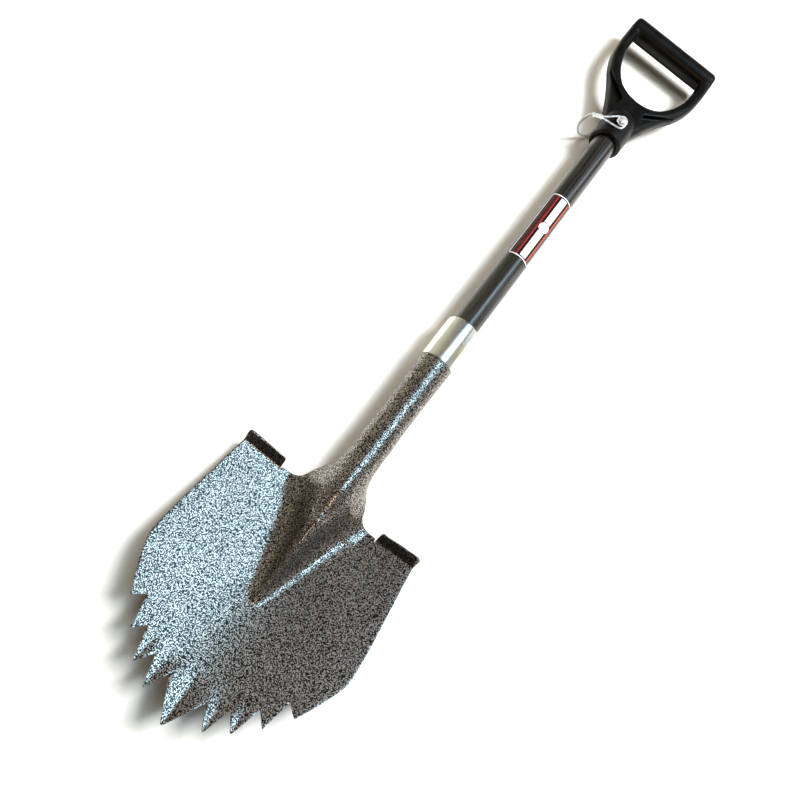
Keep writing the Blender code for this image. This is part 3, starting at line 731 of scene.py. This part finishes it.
def sheet_triangles(boundary, lines):
    """Constrained triangulation of the half plan with an even field of inner points."""
    rim = np.array([(p.x, p.y) for p in boundary])
    apart = GRID * 0.62
    low, high = rim.min(0), rim.max(0)
    field = []
    row = 0
    y = low[1]
    while y < high[1]:
        offset = GRID / 2 if row % 2 else 0.0
        field += [(x + offset, y) for x in np.arange(low[0], high[0], GRID)]
        y += GRID * math.sqrt(3) / 2
        row += 1
    field = np.array(field)
    field = field[inside(rim, field)]
    field = field[clear_of(field, rim, apart)]
    edges = []
    points = [Vector(p) for p in rim]
    for line in lines:
        first = len(points)
        points += line
        edges += [(first + i, first + i + 1) for i in range(len(line) - 1)]
        field = field[clear_of(field, np.array([(p.x, p.y) for p in line]), apart)]
    points += [Vector(p) for p in field]
    loop = list(range(len(boundary)))
    verts, _edges, faces = delaunay_2d_cdt(points, edges, [loop], 1, 1e-4)[:3]
    return verts, faces


def socket_radius(y):
    if y > SOCKET_WAIST_Y:
        share = (y - SOCKET_WAIST_Y) / (LIP_Y - SOCKET_WAIST_Y)
        return SOCKET_WAIST_R + (SOCKET_LIP_R - SOCKET_WAIST_R) * share
    share = (SOCKET_WAIST_Y - y) / (SOCKET_WAIST_Y - NECK_Y)
    return SOCKET_WAIST_R + (SOCKET_NECK_R - SOCKET_WAIST_R) * min(1.0, share) ** 2


def throat_section(share, y):
    """Right half of the section between the shoulder line (0) and the closed socket (1)."""
    ease = share**1.3
    radius = socket_radius(max(y, NECK_Y))
    points = []
    for i in range(SOCKET_COLUMNS + 1):
        part = i / SOCKET_COLUMNS
        opened = Vector((THROAT_X * part, y, blade_z(THROAT_X * part, SHOULDER_Y)))
        angle = part * (math.pi - SEAM_HALF_ANGLE)
        closed = Vector((radius * math.sin(angle), y, AXIS_Z + radius * math.cos(angle)))
        points.append(opened.lerp(closed, ease))
    return points


def add_socket(shape, base):
    start = SHOULDER_Y + THROAT_RISE
    stations = [*np.linspace(start, NECK_Y, 26)[1:], *np.linspace(NECK_Y, LIP_Y, 50)[1:]]
    previous = base
    for y in stations:
        share = min(1.0, (y - start) / (NECK_Y - start))
        row = [shape.verts.new(p * MM) for p in throat_section(share, float(y))]
        join_rows(shape, previous, row, closed=False)
        previous = row


def add_step(shape, base):
    """The turned foot step above the base row: a round bend, then a flat with round corners."""
    slope = math.atan(LIFT)
    final = STEP_ANGLE - slope
    stations = []
    for i in range(1, 9):
        angle = STEP_ANGLE * i / 8 - slope
        along = STEP_BEND_R * (math.sin(angle) + math.sin(slope))
        up = STEP_BEND_R * (math.cos(slope) - math.cos(angle))
        stations.append((along, up, 0.0))
    bend_along, bend_up = stations[-1][:2]
    corner_start = STEP_FLAT - STEP_CORNER
    straight = np.linspace(0, corner_start, 4)[1:]
    rounded = np.linspace(corner_start, STEP_FLAT, 7)[1:]
    for flat in [*straight, *rounded]:
        beyond = max(0.0, flat - corner_start) / STEP_CORNER
        inset = STEP_CORNER * (1 - math.sqrt(max(0.0, 1 - beyond**2)))
        stations.append((bend_along + flat * math.cos(final), bend_up + flat * math.sin(final), inset))
    start = [v.co.copy() / MM for v in base]
    middle = (start[0].x + start[-1].x) / 2
    half = abs(start[0].x - start[-1].x) / 2
    previous = base
    for along, up, inset in stations:
        row = []
        for p in start:
            x = middle + (p.x - middle) * (half - inset) / half
            row.append(shape.verts.new(Vector((x, p.y + along, p.z + up)) * MM))
        join_rows(shape, previous, row, closed=False)
        previous = row


def relax_throat(shape, rounds):
    """Smooths the join of blade and throat, leaving the edges and the centre line's X."""
    low, high = (SHOULDER_Y - 22) * MM, (NECK_Y + 14) * MM
    inner = []
    for v in shape.verts:
        if low < v.co.y < high and not (v.is_boundary and abs(v.co.x) > 1e-6):
            if abs(v.co.x) < (THROAT_X + 12) * MM:
                inner.append(v)
    for _ in range(rounds):
        moved = []
        for v in inner:
            around = [e.other_vert(v).co for e in v.link_edges]
            mean = sum(around, Vector()) / len(around)
            target = v.co.lerp(mean, 0.5)
            if abs(v.co.x) < 1e-6:
                target.x = 0.0
                target.y = v.co.y
            moved.append(target)
        for v, target in zip(inner, moved):
            v.co = target


def verts_at(verts, wanted):
    """The mesh vertices that stand at the wanted plan points."""
    table = {(round(v.co.x / MM, 2), round(v.co.y / MM, 2)): v for v in verts}
    return [table[(round(p.x, 2), round(p.y, 2))] for p in wanted]


def half_blade():
    """The right half as a bmesh that faces up: sheet, turned step and socket."""
    flank, step, notch, rise = plan_outline()
    base = base_row()
    centre = subdivided([base[0], flank[0]], GRID)
    boundary = flank[:-1] + step[:-1] + notch + rise[:-1] + base[::-1] + centre[1:-1]
    verts, faces = sheet_triangles(boundary, crease_lines())
    shape = bmesh.new()
    made = [shape.verts.new(sheet_point(p.x, p.y) * MM) for p in verts]
    for face in faces:
        shape.faces.new([made[i] for i in face])
    add_step(shape, verts_at(made, step))
    add_socket(shape, verts_at(made, base))
    bmesh.ops.recalc_face_normals(shape, faces=shape.faces)
    shape.normal_update()
    if sum(f.normal.z * f.calc_area() for f in shape.faces) < 0:
        bmesh.ops.reverse_faces(shape, faces=shape.faces)
    return shape


def make_blade(mat):
    shape = half_blade()
    mirror_half(shape)
    relax_throat(shape, 40)
    data = bpy.data.meshes.new("blade")
    shape.to_mesh(data)
    shape.free()
    data.shade_smooth()
    blade = link_object("blade", data, mat)
    shell = blade.modifiers.new("sheet", "SOLIDIFY")
    shell.thickness = SHEET * MM
    shell.offset = -1
    shell.use_even_offset = True
    shell.bevel_convex = 1.0
    edge = blade.modifiers.new("rolled_edge", "BEVEL")
    edge.limit_method = "ANGLE"
    edge.angle_limit = math.radians(60)
    edge.width = EDGE_ROUND * MM
    edge.segments = 2
    bake(blade, 50)
    assign(blade, "shovel", "blade_head")


def mirror_half(shape):
    """Copies the right half to the left and welds the two along the centre line."""
    copied = bmesh.ops.duplicate(shape, geom=shape.verts[:] + shape.edges[:] + shape.faces[:])["geom"]
    left = [g for g in copied if isinstance(g, bmesh.types.BMVert)]
    for v in left:
        v.co.x = -v.co.x
    bmesh.ops.reverse_faces(shape, faces=[g for g in copied if isinstance(g, bmesh.types.BMFace)])
    middle = [v for v in shape.verts if abs(v.co.x) < 1e-6]
    bmesh.ops.remove_doubles(shape, verts=middle, dist=1e-5)


# ---- shaft


def make_ferrule(mat):
    length = FERRULE_HIGH.y - LIP_Y
    spigot = LIP_Y - FERRULE_LOW.y
    bore = SHAFT_R + 0.35
    points = [
        (bore, length),
        (FERRULE_R - 1.6, length),
        (FERRULE_R, length - 1.6),
        (FERRULE_R, 0.3),
        (FERRULE_SPIGOT_R, 0.3),
        (FERRULE_SPIGOT_R, -spigot),
        (bore, -spigot),
    ]
    profile = rounded_profile(points, [0.5, 0.4, 0.4, 0.0, 0.2], 3)
    ferrule = at(turn("ferrule_collar", profile, 128, mat), 0, LIP_Y, AXIS_Z, ALONG_Y)
    assign(ferrule, "shovel", "ferrule")


def make_shaft(mat):
    length = SHAFT_HIGH.y - SHAFT_LOW.y
    points = [(SHAFT_BORE_R, length), (SHAFT_R, length), (SHAFT_R, 0), (SHAFT_BORE_R, 0)]
    shaft = at(turn("shaft", points, 128, mat), 0, SHAFT_LOW.y, AXIS_Z, ALONG_Y)
    cross = at(rod("cross_hole", 5.6, 32, 48), 0, PIN_Y, AXIS_Z)
    screw_y = (SOCKET_SCREW_LOW.y + SOCKET_SCREW_HIGH.y) / 2
    low = at(rod("screw_hole", 2.6, 6, 32), 0, screw_y, AXIS_Z - SHAFT_R)
    cut(shaft, [cross, low])
    assign(shaft, "shovel", "shaft_tube")


def make_label(mat):
    """A film bent over the shaft with rounded corners; its map runs across and along the print."""
    columns, rows = 64, 60
    corner = 2.0
    shape = bmesh.new()
    uv = shape.loops.layers.uv.new("print")
    grid = []
    for j in range(rows + 1):
        v = 0.5 - 0.5 * math.cos(math.pi * j / rows)
        from_end = min(v, 1 - v) * LABEL_LENGTH
        inset = corner - math.sqrt(corner**2 - (corner - min(from_end, corner)) ** 2)
        row = []
        for i in range(columns + 1):
            u = i / columns
            arc = (u - 0.5) * (LABEL_WIDTH - 2 * inset)
            angle = LABEL_MIDDLE + arc / LABEL_R
            y = LABEL_LOW.y + v * LABEL_LENGTH
            place = Vector((LABEL_R * math.sin(angle), y, AXIS_Z + LABEL_R * math.cos(angle)))
            row.append((shape.verts.new(place * MM), (arc / LABEL_WIDTH + 0.5, v)))
        grid.append(row)
    for low, high in zip(grid, grid[1:]):
        for i in range(columns):
            corners = (low[i], low[i + 1], high[i + 1], high[i])
            face = shape.faces.new([c[0] for c in corners])
            for loop, (_vert, place) in zip(face.loops, corners):
                loop[uv].uv = place
    label = finish_mesh("label", shape, mat)
    film = label.modifiers.new("film", "SOLIDIFY")
    film.thickness = 0.25 * MM
    film.offset = 1
    bake(label)
    assign(label, "shovel", "shaft_label")


def cross_recess(name, size, depth):
    """Two tapered bars, narrow end up, that cut a driver recess into a head facing down."""
    bars = []
    for quarter in (0, 1):
        turned = Matrix.Rotation(quarter * math.pi / 2, 3, "Z")
        loops = []
        for z, half, wide in ((-1.0, size, 0.55), (depth, size * 0.45, 0.35)):
            corners = ((-half, -wide), (half, -wide), (half, wide), (-half, wide))
            loops.append([turned @ Vector((x, y, z)) for x, y in corners])
        bars.append(capped_loft(f"{name}_{quarter}", loops))
    return bars


def make_pan_screw(name, node, low, high, head_r, shank_r, head_height, mat):
    """Pan-head screw pointing up, with a rounded head and a driver recess below."""
    y = (low.y + high.y) / 2
    top = high.z - low.z - head_height
    points = [
        (0, top),
        (shank_r, top - 1.5),
        (shank_r, 0),
        (head_r, 0),
        (head_r * 0.93, -head_height * 0.62),
        (head_r * 0.5, -head_height * 0.95),
        (0, -head_height),
    ]
    profile = rounded_profile(points, [0.4, 0.15, 0.5, 1.0, 1.2], 5)
    screw = at(turn(name, profile, 64, mat), 0, y, low.z + head_height)
    cut(screw, [at(bar, 0, y, low.z) for bar in cross_recess(name + "_recess", head_r * 0.55, 1.3)])
    assign(screw, "shovel", node)


def make_washer(mat):
    half = (WASHER_HIGH.z - WASHER_LOW.z) / 2
    outer = (WASHER_HIGH.x - WASHER_LOW.x) / 2
    points = [(2.2, half), (outer, half), (outer, -half), (2.2, -half)]
    profile = rounded_profile(points, [0.25, 0.25], 3)
    washer = at(turn("washer", profile, 96, mat), 0, ANCHOR_Y, (WASHER_HIGH.z + WASHER_LOW.z) / 2)
    assign(washer, "shovel", "anchor_washer")


# ---- grip


def prism(name, outline, low, high):
    """A closed outline of (x, y) points between two heights."""
    return capped_loft(name, [[(x, y, z) for x, y in outline] for z in (low, high)])


def moved_in(outline, distance):
    """The outline, given anticlockwise, moved inwards by a distance."""
    moved = []
    for before, here, after in zip([outline[-1], *outline], outline, [*outline[1:], outline[0]]):
        first = (Vector(here) - Vector(before)).orthogonal().normalized()
        second = (Vector(after) - Vector(here)).orthogonal().normalized()
        middle = (first + second).normalized()
        moved.append(Vector(here) + middle * distance / max(0.6, middle.dot(first)))
    return moved


def rounded_plate(name, outline, half, edge):
    """A plate about the shaft's axis height with full round edges."""
    loops = []
    for side in (-1, 1):
        for i in range(WEB_RINGS + 1):
            share = i if side > 0 else WEB_RINGS - i
            angle = math.pi / 2 * share / WEB_RINGS
            z = AXIS_Z + side * (half - edge + edge * math.sin(angle))
            loops.append([(p.x, p.y, z) for p in moved_in(outline, edge * (1 - math.cos(angle)))])
    return capped_loft(name, loops)


def mirrored(half):
    return half + [(-x, y) for x, y in reversed(half[1:-1])]


def smooth_half(points):
    return [(p.x, p.y) for p in smooth_path([Vector(p) for p in points], 8)]


def corner_arc(cx, cy, radius):
    """An eighth of a circle, from +X towards +Y."""
    turns = [math.pi / 2 * i / 10 for i in range(6)]
    return [(cx + radius * math.cos(t), cy + radius * math.sin(t)) for t in turns]


def grip_outlines():
    """The web, open between its arms towards the bar, and the right arm's pocket."""
    end_y = GRIP_HIGH.y
    flank = [(20, 330), (24, 346), (33, 370), (45, 395), (57, 416), (65.5, 439), (69, 466)]
    flank.append((GRIP_HALF_WIDTH - 2, 498))
    corner = corner_arc(GRIP_HALF_WIDTH - 16, end_y - 16.5, 14)
    arm_end = [(54.2, end_y - 12)]
    inner = [(54, 468), (52, 452), (47, 434), (39.5, 419), (29, 406), (15, 398.5), (0, 396)]
    web = mirrored([(0, 330), *smooth_half(flank), *corner, *arm_end, *smooth_half(inner)])
    outer = [(21, 366), (31, 380), (41, 393), (51, 407), (60, 422)]
    return web, [*outer, (54, 414), (44, 403), (32, 393), (18, 382)]


def cylinder_x(name, radius, half, edge, y):
    """A rod along X with rounded ends."""
    points = [(0, half), (radius, half), (radius, -half), (0, -half)]
    return at(turn(name, rounded_profile(points, [edge, edge], 6), 96), 0, y, AXIS_Z, ALONG_X)


def gather(target, others):
    """Adds other pieces to a mesh; the voxel skin of soften() then unites them."""
    shape = bmesh.new()
    for item in [target, *others]:
        shape.from_mesh(item.data)
    shape.to_mesh(target.data)
    shape.free()
    discard(*others)


def soften(made, rounds):
    """One even skin over overlapping pieces, with their joins and edges melted together."""
    melt = made.modifiers.new("voxels", "REMESH")
    melt.mode = "VOXEL"
    melt.voxel_size = VOXEL * MM
    calm = made.modifiers.new("calm", "SMOOTH")
    calm.iterations = rounds
    calm.factor = 0.5
    bake(made, 60)


def grip_pockets(outline):
    """Tools for the wedge pockets of both arms, on both faces."""
    tools = []
    for side in (-1, 1):
        for face in (-1, 1):
            floor_z = AXIS_Z + face * (WEB_HALF - POCKET_DEPTH)
            beyond = AXIS_Z + face * (WEB_HALF + 6)
            edge = [(side * x, y) for x, y in outline]
            tools.append(prism(f"pocket_{side}_{face}", edge, *sorted((floor_z, beyond))))
    return tools


def grip_holes():
    """Tools for the shaft's bore, the pin's hole and the anchor screw's pilot hole."""
    radius = SHAFT_R + 0.4
    depth = SHAFT_HIGH.y + 4 - GRIP_LOW.y
    mouth = [(radius, 1.0), (radius + 1.0, -0.2), (radius + 1.0, -20)]
    bore = turn("bore", [(0, depth), (radius, depth), *mouth, (0, -20)], 128)
    return [
        at(bore, 0, GRIP_LOW.y, AXIS_Z, ALONG_Y),
        at(rod("pin_hole", 4.35, 60, 64), 0, PIN_Y, AXIS_Z),
        at(rod("pilot_hole", 2.1, 15, 48), 0, ANCHOR_Y, AXIS_Z - WEB_HALF),
    ]


def make_grip(mat):
    web, pocket = grip_outlines()
    grip = rounded_plate("grip", web, WEB_HALF, WEB_ROUND)
    bar = cylinder_x("bar", BAR_R + 0.1, GRIP_HALF_WIDTH - 3.0, 7.0, GRIP_HIGH.y - BAR_R - 0.8)
    dome = [(0, 58), (8, 57), (15, 53), (20, 46), (NECK_R, 38)]
    neck = turn("neck", [*dome, (NECK_R, 0), (0, 0)], 96)
    gather(grip, [bar, at(neck, 0, GRIP_LOW.y, AXIS_Z, ALONG_Y)])
    soften(grip, 12)
    cut(grip, grip_pockets(pocket))
    soften(grip, 5)
    cut(grip, grip_holes())
    grip.data.materials.clear()
    grip.data.materials.append(mat)
    assign(grip, "shovel", "grip_moulding")


# ---- pin and lanyard


def make_pin(mat):
    under = 53.8
    top = PIN_HIGH.z
    rim = 1.0
    shank = 4.0
    dome = []
    for i in range(19):
        angle = math.radians(5 * i)
        dome.append((HEAD_R * math.sin(angle), under + rim + (top - under - rim) * math.cos(angle)))
    dome[0] = (0, top)
    edge = [(HEAD_R, under + 0.3), (HEAD_R - 0.3, under), (shank + 0.5, under), (shank, under - 0.5)]
    foot = [(shank, 1.2), (shank - 0.35, 0.35), (shank - 1.2, 0), (0, 0)]
    pin = at(turn("pin_body", [*dome, *edge, *foot], 96, mat), 0, PIN_Y, PIN_LOW.z)
    balls_low, balls_high = millimetres("detent_ball_right")
    hole_r = (balls_high.z - balls_low.z) / 2 + 0.15
    hole = rod("detent_hole", hole_r, 10, 32)
    cut(pin, [at(hole, 0, PIN_Y, (balls_low.z + balls_high.z) / 2, ALONG_X)])
    assign(pin, "pin", "pin")


def directions_across(away):
    """The upward and the sideways direction across a leaving direction."""
    up = Vector((0, 0, 1))
    normal = (up - away * up.dot(away)).normalized()
    return normal, normal.cross(away).normalized()


def teardrop(centre, away, half_width, length, count):
    """Open loop round centre whose two ends meet side by side at length along away."""
    _normal, side = directions_across(away)
    points = []
    for i in range(count + 1):
        angle = math.radians(-115 + 230 * i / count)
        ring = side * math.sin(angle) - away * math.cos(angle)
        points.append(centre + ring * half_width)
    first = centre + away * length - side * ROPE_HALF_PITCH
    last = centre + away * length + side * ROPE_HALF_PITCH
    return [first, *points, last]


def free_run():
    """Guide points of the rope between the crimps, round the neck's left side."""
    return [
        PIN_CRIMP + EYE_AWAY * 9,
        Vector((-41.5, 315, 38)),
        Vector((-42.0, 314, 26)),
        Vector((-37.0, 318, 13)),
        Vector((-30.0, 325, 5.6)),
        Vector((-24.0, 334, 4.0)),
        ANCHOR_CRIMP + ANCHOR_AWAY * 9,
    ]


def rope_path():
    """The rope from its end in the pin's crimp, round both eyes, to its end in the anchor's crimp."""
    top = teardrop(EYE_CENTRE, EYE_AWAY, EYE_HALF_WIDTH, 22.4, 12)
    low = teardrop(ANCHOR_EYE_CENTRE, ANCHOR_AWAY, 4.4, 12.0, 10)
    top_side = (top[-1] - top[0]).normalized() * ROPE_HALF_PITCH
    low_side = (low[-1] - low[0]).normalized() * ROPE_HALF_PITCH
    start = [PIN_CRIMP - top_side + EYE_AWAY * 4, *top, PIN_CRIMP + top_side + EYE_AWAY * 2]
    finish = [ANCHOR_CRIMP - low_side + ANCHOR_AWAY * 2, *low, ANCHOR_CRIMP + low_side + ANCHOR_AWAY * 4]
    return even_path(smooth_path(start + free_run() + finish, 8), ROPE_STEP)


def make_rope(mat):
    """Six strands laid round a seventh."""
    path = rope_path()
    frames = path_frames(path)
    shape = bmesh.new()
    lay_r = ROPE_R - STRAND_R
    for strand in range(6):
        line = []
        for i, (place, (u, v)) in enumerate(zip(path, frames)):
            angle = math.tau * (strand / 6 + i * ROPE_STEP / STRAND_LAY)
            line.append(place + (u * math.cos(angle) + v * math.sin(angle)) * lay_r)
        sweep(shape, line, STRAND_R, 8)
    sweep(shape, path, STRAND_R, 8)
    rope = finish_mesh("lanyard_rope", shape, mat, 60)
    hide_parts("lanyard_cable")
    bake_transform(rope)


def make_sheath(mat):
    """Sleeve over the free run, short of both crimps, with slightly gathered ends."""
    guide = smooth_path(free_run(), 12)
    path = even_path(guide[6:-6], SHEATH_STEP)
    count = len(path)

    def radius(i):
        from_end = min(i, count - 1 - i) * SHEATH_STEP
        return SHEATH_R - 0.35 * math.exp(-from_end / 1.2)

    shape = bmesh.new()
    sweep(shape, path, radius, 20)
    sheath = finish_mesh("lanyard_sleeve", shape, mat, 50)
    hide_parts("lanyard_sheath")
    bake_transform(sheath)


def make_crimp(name, node, place, away, length, body, mat):
    """Oval sleeve with pressed dents and rounded ends, open for the two ropes."""
    normal, side = directions_across(away)
    steps = 48
    around = 40
    dents = max(2, round(length / 4.5))

    def ring(t, half_length, radius, swell):
        points = []
        for k in range(around):
            angle = math.tau * k / around
            c, s = math.cos(angle), math.sin(angle)
            flat = half_length - radius
            x = math.copysign(flat, c) * min(1.0, abs(c) * 6) + radius * c
            offset = side * x * (2 - swell) + normal * radius * s * swell
            points.append(shape.verts.new((place + away * t + offset) * MM))
        return points

    shape = bmesh.new()
    outer, inner = [], []
    for i in range(steps + 1):
        share = i / steps
        t = (share - 0.5) * length
        end = min(share, 1 - share) * length
        lip = 0.30 * math.exp(-((end / 0.5) ** 2))
        dent = 0.5 - 0.5 * math.cos(math.tau * share * dents)
        swell = 1.0 - 0.17 * dent * min(1.0, end / 1.2)
        outer.append(ring(t, 3.5 - lip, 2.0 - lip, swell))
        inner.append(ring(t, 2.75, ROPE_HALF_PITCH, 1.0 - 0.05 * dent))
    for rows in (outer, inner):
        for low, high in zip(rows, rows[1:]):
            join_rows(shape, low, high)
    join_rows(shape, outer[0], inner[0])
    join_rows(shape, outer[-1], inner[-1])
    crimp = finish_mesh(name, shape, mat, 50)
    assign(crimp, body, node)


def make_lanyard(rope_mat, vinyl_mat, crimp_mat):
    make_rope(rope_mat)
    make_sheath(vinyl_mat)
    make_crimp("pin_crimp", "crimp_sleeve_pin", PIN_CRIMP, EYE_AWAY, 14.0, "lanyard_eye", crimp_mat)
    make_crimp("anchor_crimp", "crimp_sleeve_anchor", ANCHOR_CRIMP, ANCHOR_AWAY, 9.0, "shovel", crimp_mat)


def dress_cad(names, mat):
    """Gives CAD nodes that stay a procedural material and smooth shading."""
    for name in names:
        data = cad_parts[name].data
        data.materials.clear()
        data.materials.append(mat)
        shade(data, 40)


# ---- stage


def make_floor():
    data = bpy.data.meshes.new("floor")
    shape = bmesh.new()
    bmesh.ops.create_grid(shape, x_segments=8, y_segments=8, size=4.0)
    shape.to_mesh(data)
    shape.free()
    floor = link_object("floor", data, material("floor_paint", pale_floor))
    floor.location.z = -0.0004


def area_light(name, place, aim, size, power, colour, mirrored=True):
    """A card that shows only in reflections, or, if not mirrored, a light with no reflection."""
    light = bpy.data.lights.new(name, "AREA")
    light.shape = "RECTANGLE"
    light.size, light.size_y = size
    light.energy = power
    light.color = colour
    made = link_object(name, light)
    made.location = place
    made.rotation_euler = (Vector(aim) - Vector(place)).to_track_quat("-Z", "Y").to_euler()
    made.visible_glossy = mirrored
    made.visible_diffuse = not mirrored


def room_air():
    """What the metal mirrors: a dim room, darkest behind the viewer, with pale walls to the right
    and beyond the grip, a yellowish one to the left and a bluish window above. Diffuse light and
    the background are plain."""
    world = bpy.data.worlds.new("room")
    world.use_nodes = True
    tree = world.node_tree
    way = add_node(tree, "ShaderNodeTexCoord").outputs["Generated"]
    x, y = add_node(tree, "ShaderNodeSeparateXYZ", {0: way}).outputs[:2]
    ceiling = product(tree, spread(tree, y, -0.62, -0.25), spread(tree, y, 0.62, 0.42))
    colour = mix(tree, ceiling, (0.015, 0.013, 0.012), (0.31, 0.255, 0.21))
    left = product(tree, spread(tree, x, -0.40, -0.90), spread(tree, y, -0.4, 0.3))
    colour = mix(tree, left, colour, (0.62, 0.60, 0.43))
    right = product(tree, spread(tree, x, 0.42, 0.85), spread(tree, y, -0.5, 0.2))
    colour = mix(tree, right, colour, (0.40, 0.40, 0.37))
    colour = mix(tree, spread(tree, y, 0.72, 0.92), colour, (0.16, 0.19, 0.21))
    pane_x = product(tree, spread(tree, x, 0.07, 0.26), spread(tree, x, 0.60, 0.44))
    pane_y = product(tree, spread(tree, y, -0.18, 0.05), spread(tree, y, 0.60, 0.40))
    colour = mix(tree, product(tree, pane_x, pane_y), colour, (3.5, 5.7, 7.3))
    rays = add_node(tree, "ShaderNodeLightPath").outputs
    colour = mix(tree, rays["Is Diffuse Ray"], colour, (0.115, 0.095, 0.070))
    colour = mix(tree, rays["Is Camera Ray"], colour, (0.80, 0.79, 0.77))
    tree.links.new(colour, tree.nodes["Background"].inputs["Color"])
    bpy.context.scene.world = world


def make_lights():
    """Two soft lights for the shading and three cards and a room for the reflections."""
    centre = (0.0, 0.0, 0.0)
    area_light("key", (1.5, 1.9, 2.9), centre, (1.5, 1.5), 275, (1.0, 0.995, 0.98), mirrored=False)
    area_light("overhead", (-0.45, 0.75, 1.3), centre, (1.2, 1.2), 11, (1.0, 0.93, 0.80), mirrored=False)
    area_light("lamp", (0.20, -1.0, 1.5), (0.0, -0.30, 0.0), (0.40, 0.5), 3.0, (1.0, 0.70, 0.36))
    area_light("strip", (0.69, 1.04, 1.05), (0.0, 0.2, 0.0), (0.22, 1.1), 3.8, (0.80, 0.92, 1.0))
    area_light("low_strip", (1.95, 1.3, 0.16), (0.0, 0.2, 0.0), (0.10, 1.8), 2.4, (1.0, 0.98, 0.92))
    room_air()
    bpy.context.scene.view_settings.view_transform = "Standard"


def make_camera():
    """A close hand-held view from above the blade, the shovel lying across the picture."""
    data = bpy.data.cameras.new("camera")
    data.sensor_width = 36.0
    data.lens = CAMERA_LENS
    camera = link_object("camera", data)
    forward = (CAMERA_AIM - CAMERA_PLACE).normalized()
    heading = Vector((-math.sin(CAMERA_HEADING), math.cos(CAMERA_HEADING), 0))
    right = forward.cross(heading).normalized()
    up = right.cross(forward)
    turned = Matrix((right, up, -forward)).transposed().to_4x4()
    camera.matrix_world = Matrix.Translation(CAMERA_PLACE) @ turned
    bpy.context.scene.camera = camera


# ---- assembly

steel = material("bright_steel", bright_metal, (0.86, 0.87, 0.89), 0.12, 0.26)
wire = material("wire_rope", bright_metal, (0.90, 0.91, 0.92), 0.22, 0.38)
alloy = material("crimp_alloy", bright_metal, (0.88, 0.87, 0.80), 0.34, 0.48)

make_blade(material("vein_powder_coat", powder_coat))
make_ferrule(material("zinc_plate", zinc_plate))
make_shaft(material("fibreglass", fibreglass))
make_label(material("label_film", label_print))
make_grip(material("grip_plastic", moulded_plastic))
make_pin(steel)
make_lanyard(wire, material("clear_vinyl", clear_vinyl), alloy)
make_pan_screw("seam_screw", "socket_screw", SOCKET_SCREW_LOW, SOCKET_SCREW_HIGH, 4.6, 2.2, 2.8, steel)
make_pan_screw("lanyard_screw", "anchor_screw", ANCHOR_LOW, ANCHOR_HIGH, 4.0, 1.8, 2.6, steel)
make_washer(steel)
dress_cad(["pin_guide_tube", "detent_ball_left", "detent_ball_right", "detent_spring"], steel)
dress_cad(["shaft_core", "shaft_end_cap"], material("inner_plastic", hidden_plastic))

make_floor()
make_lights()
make_camera()
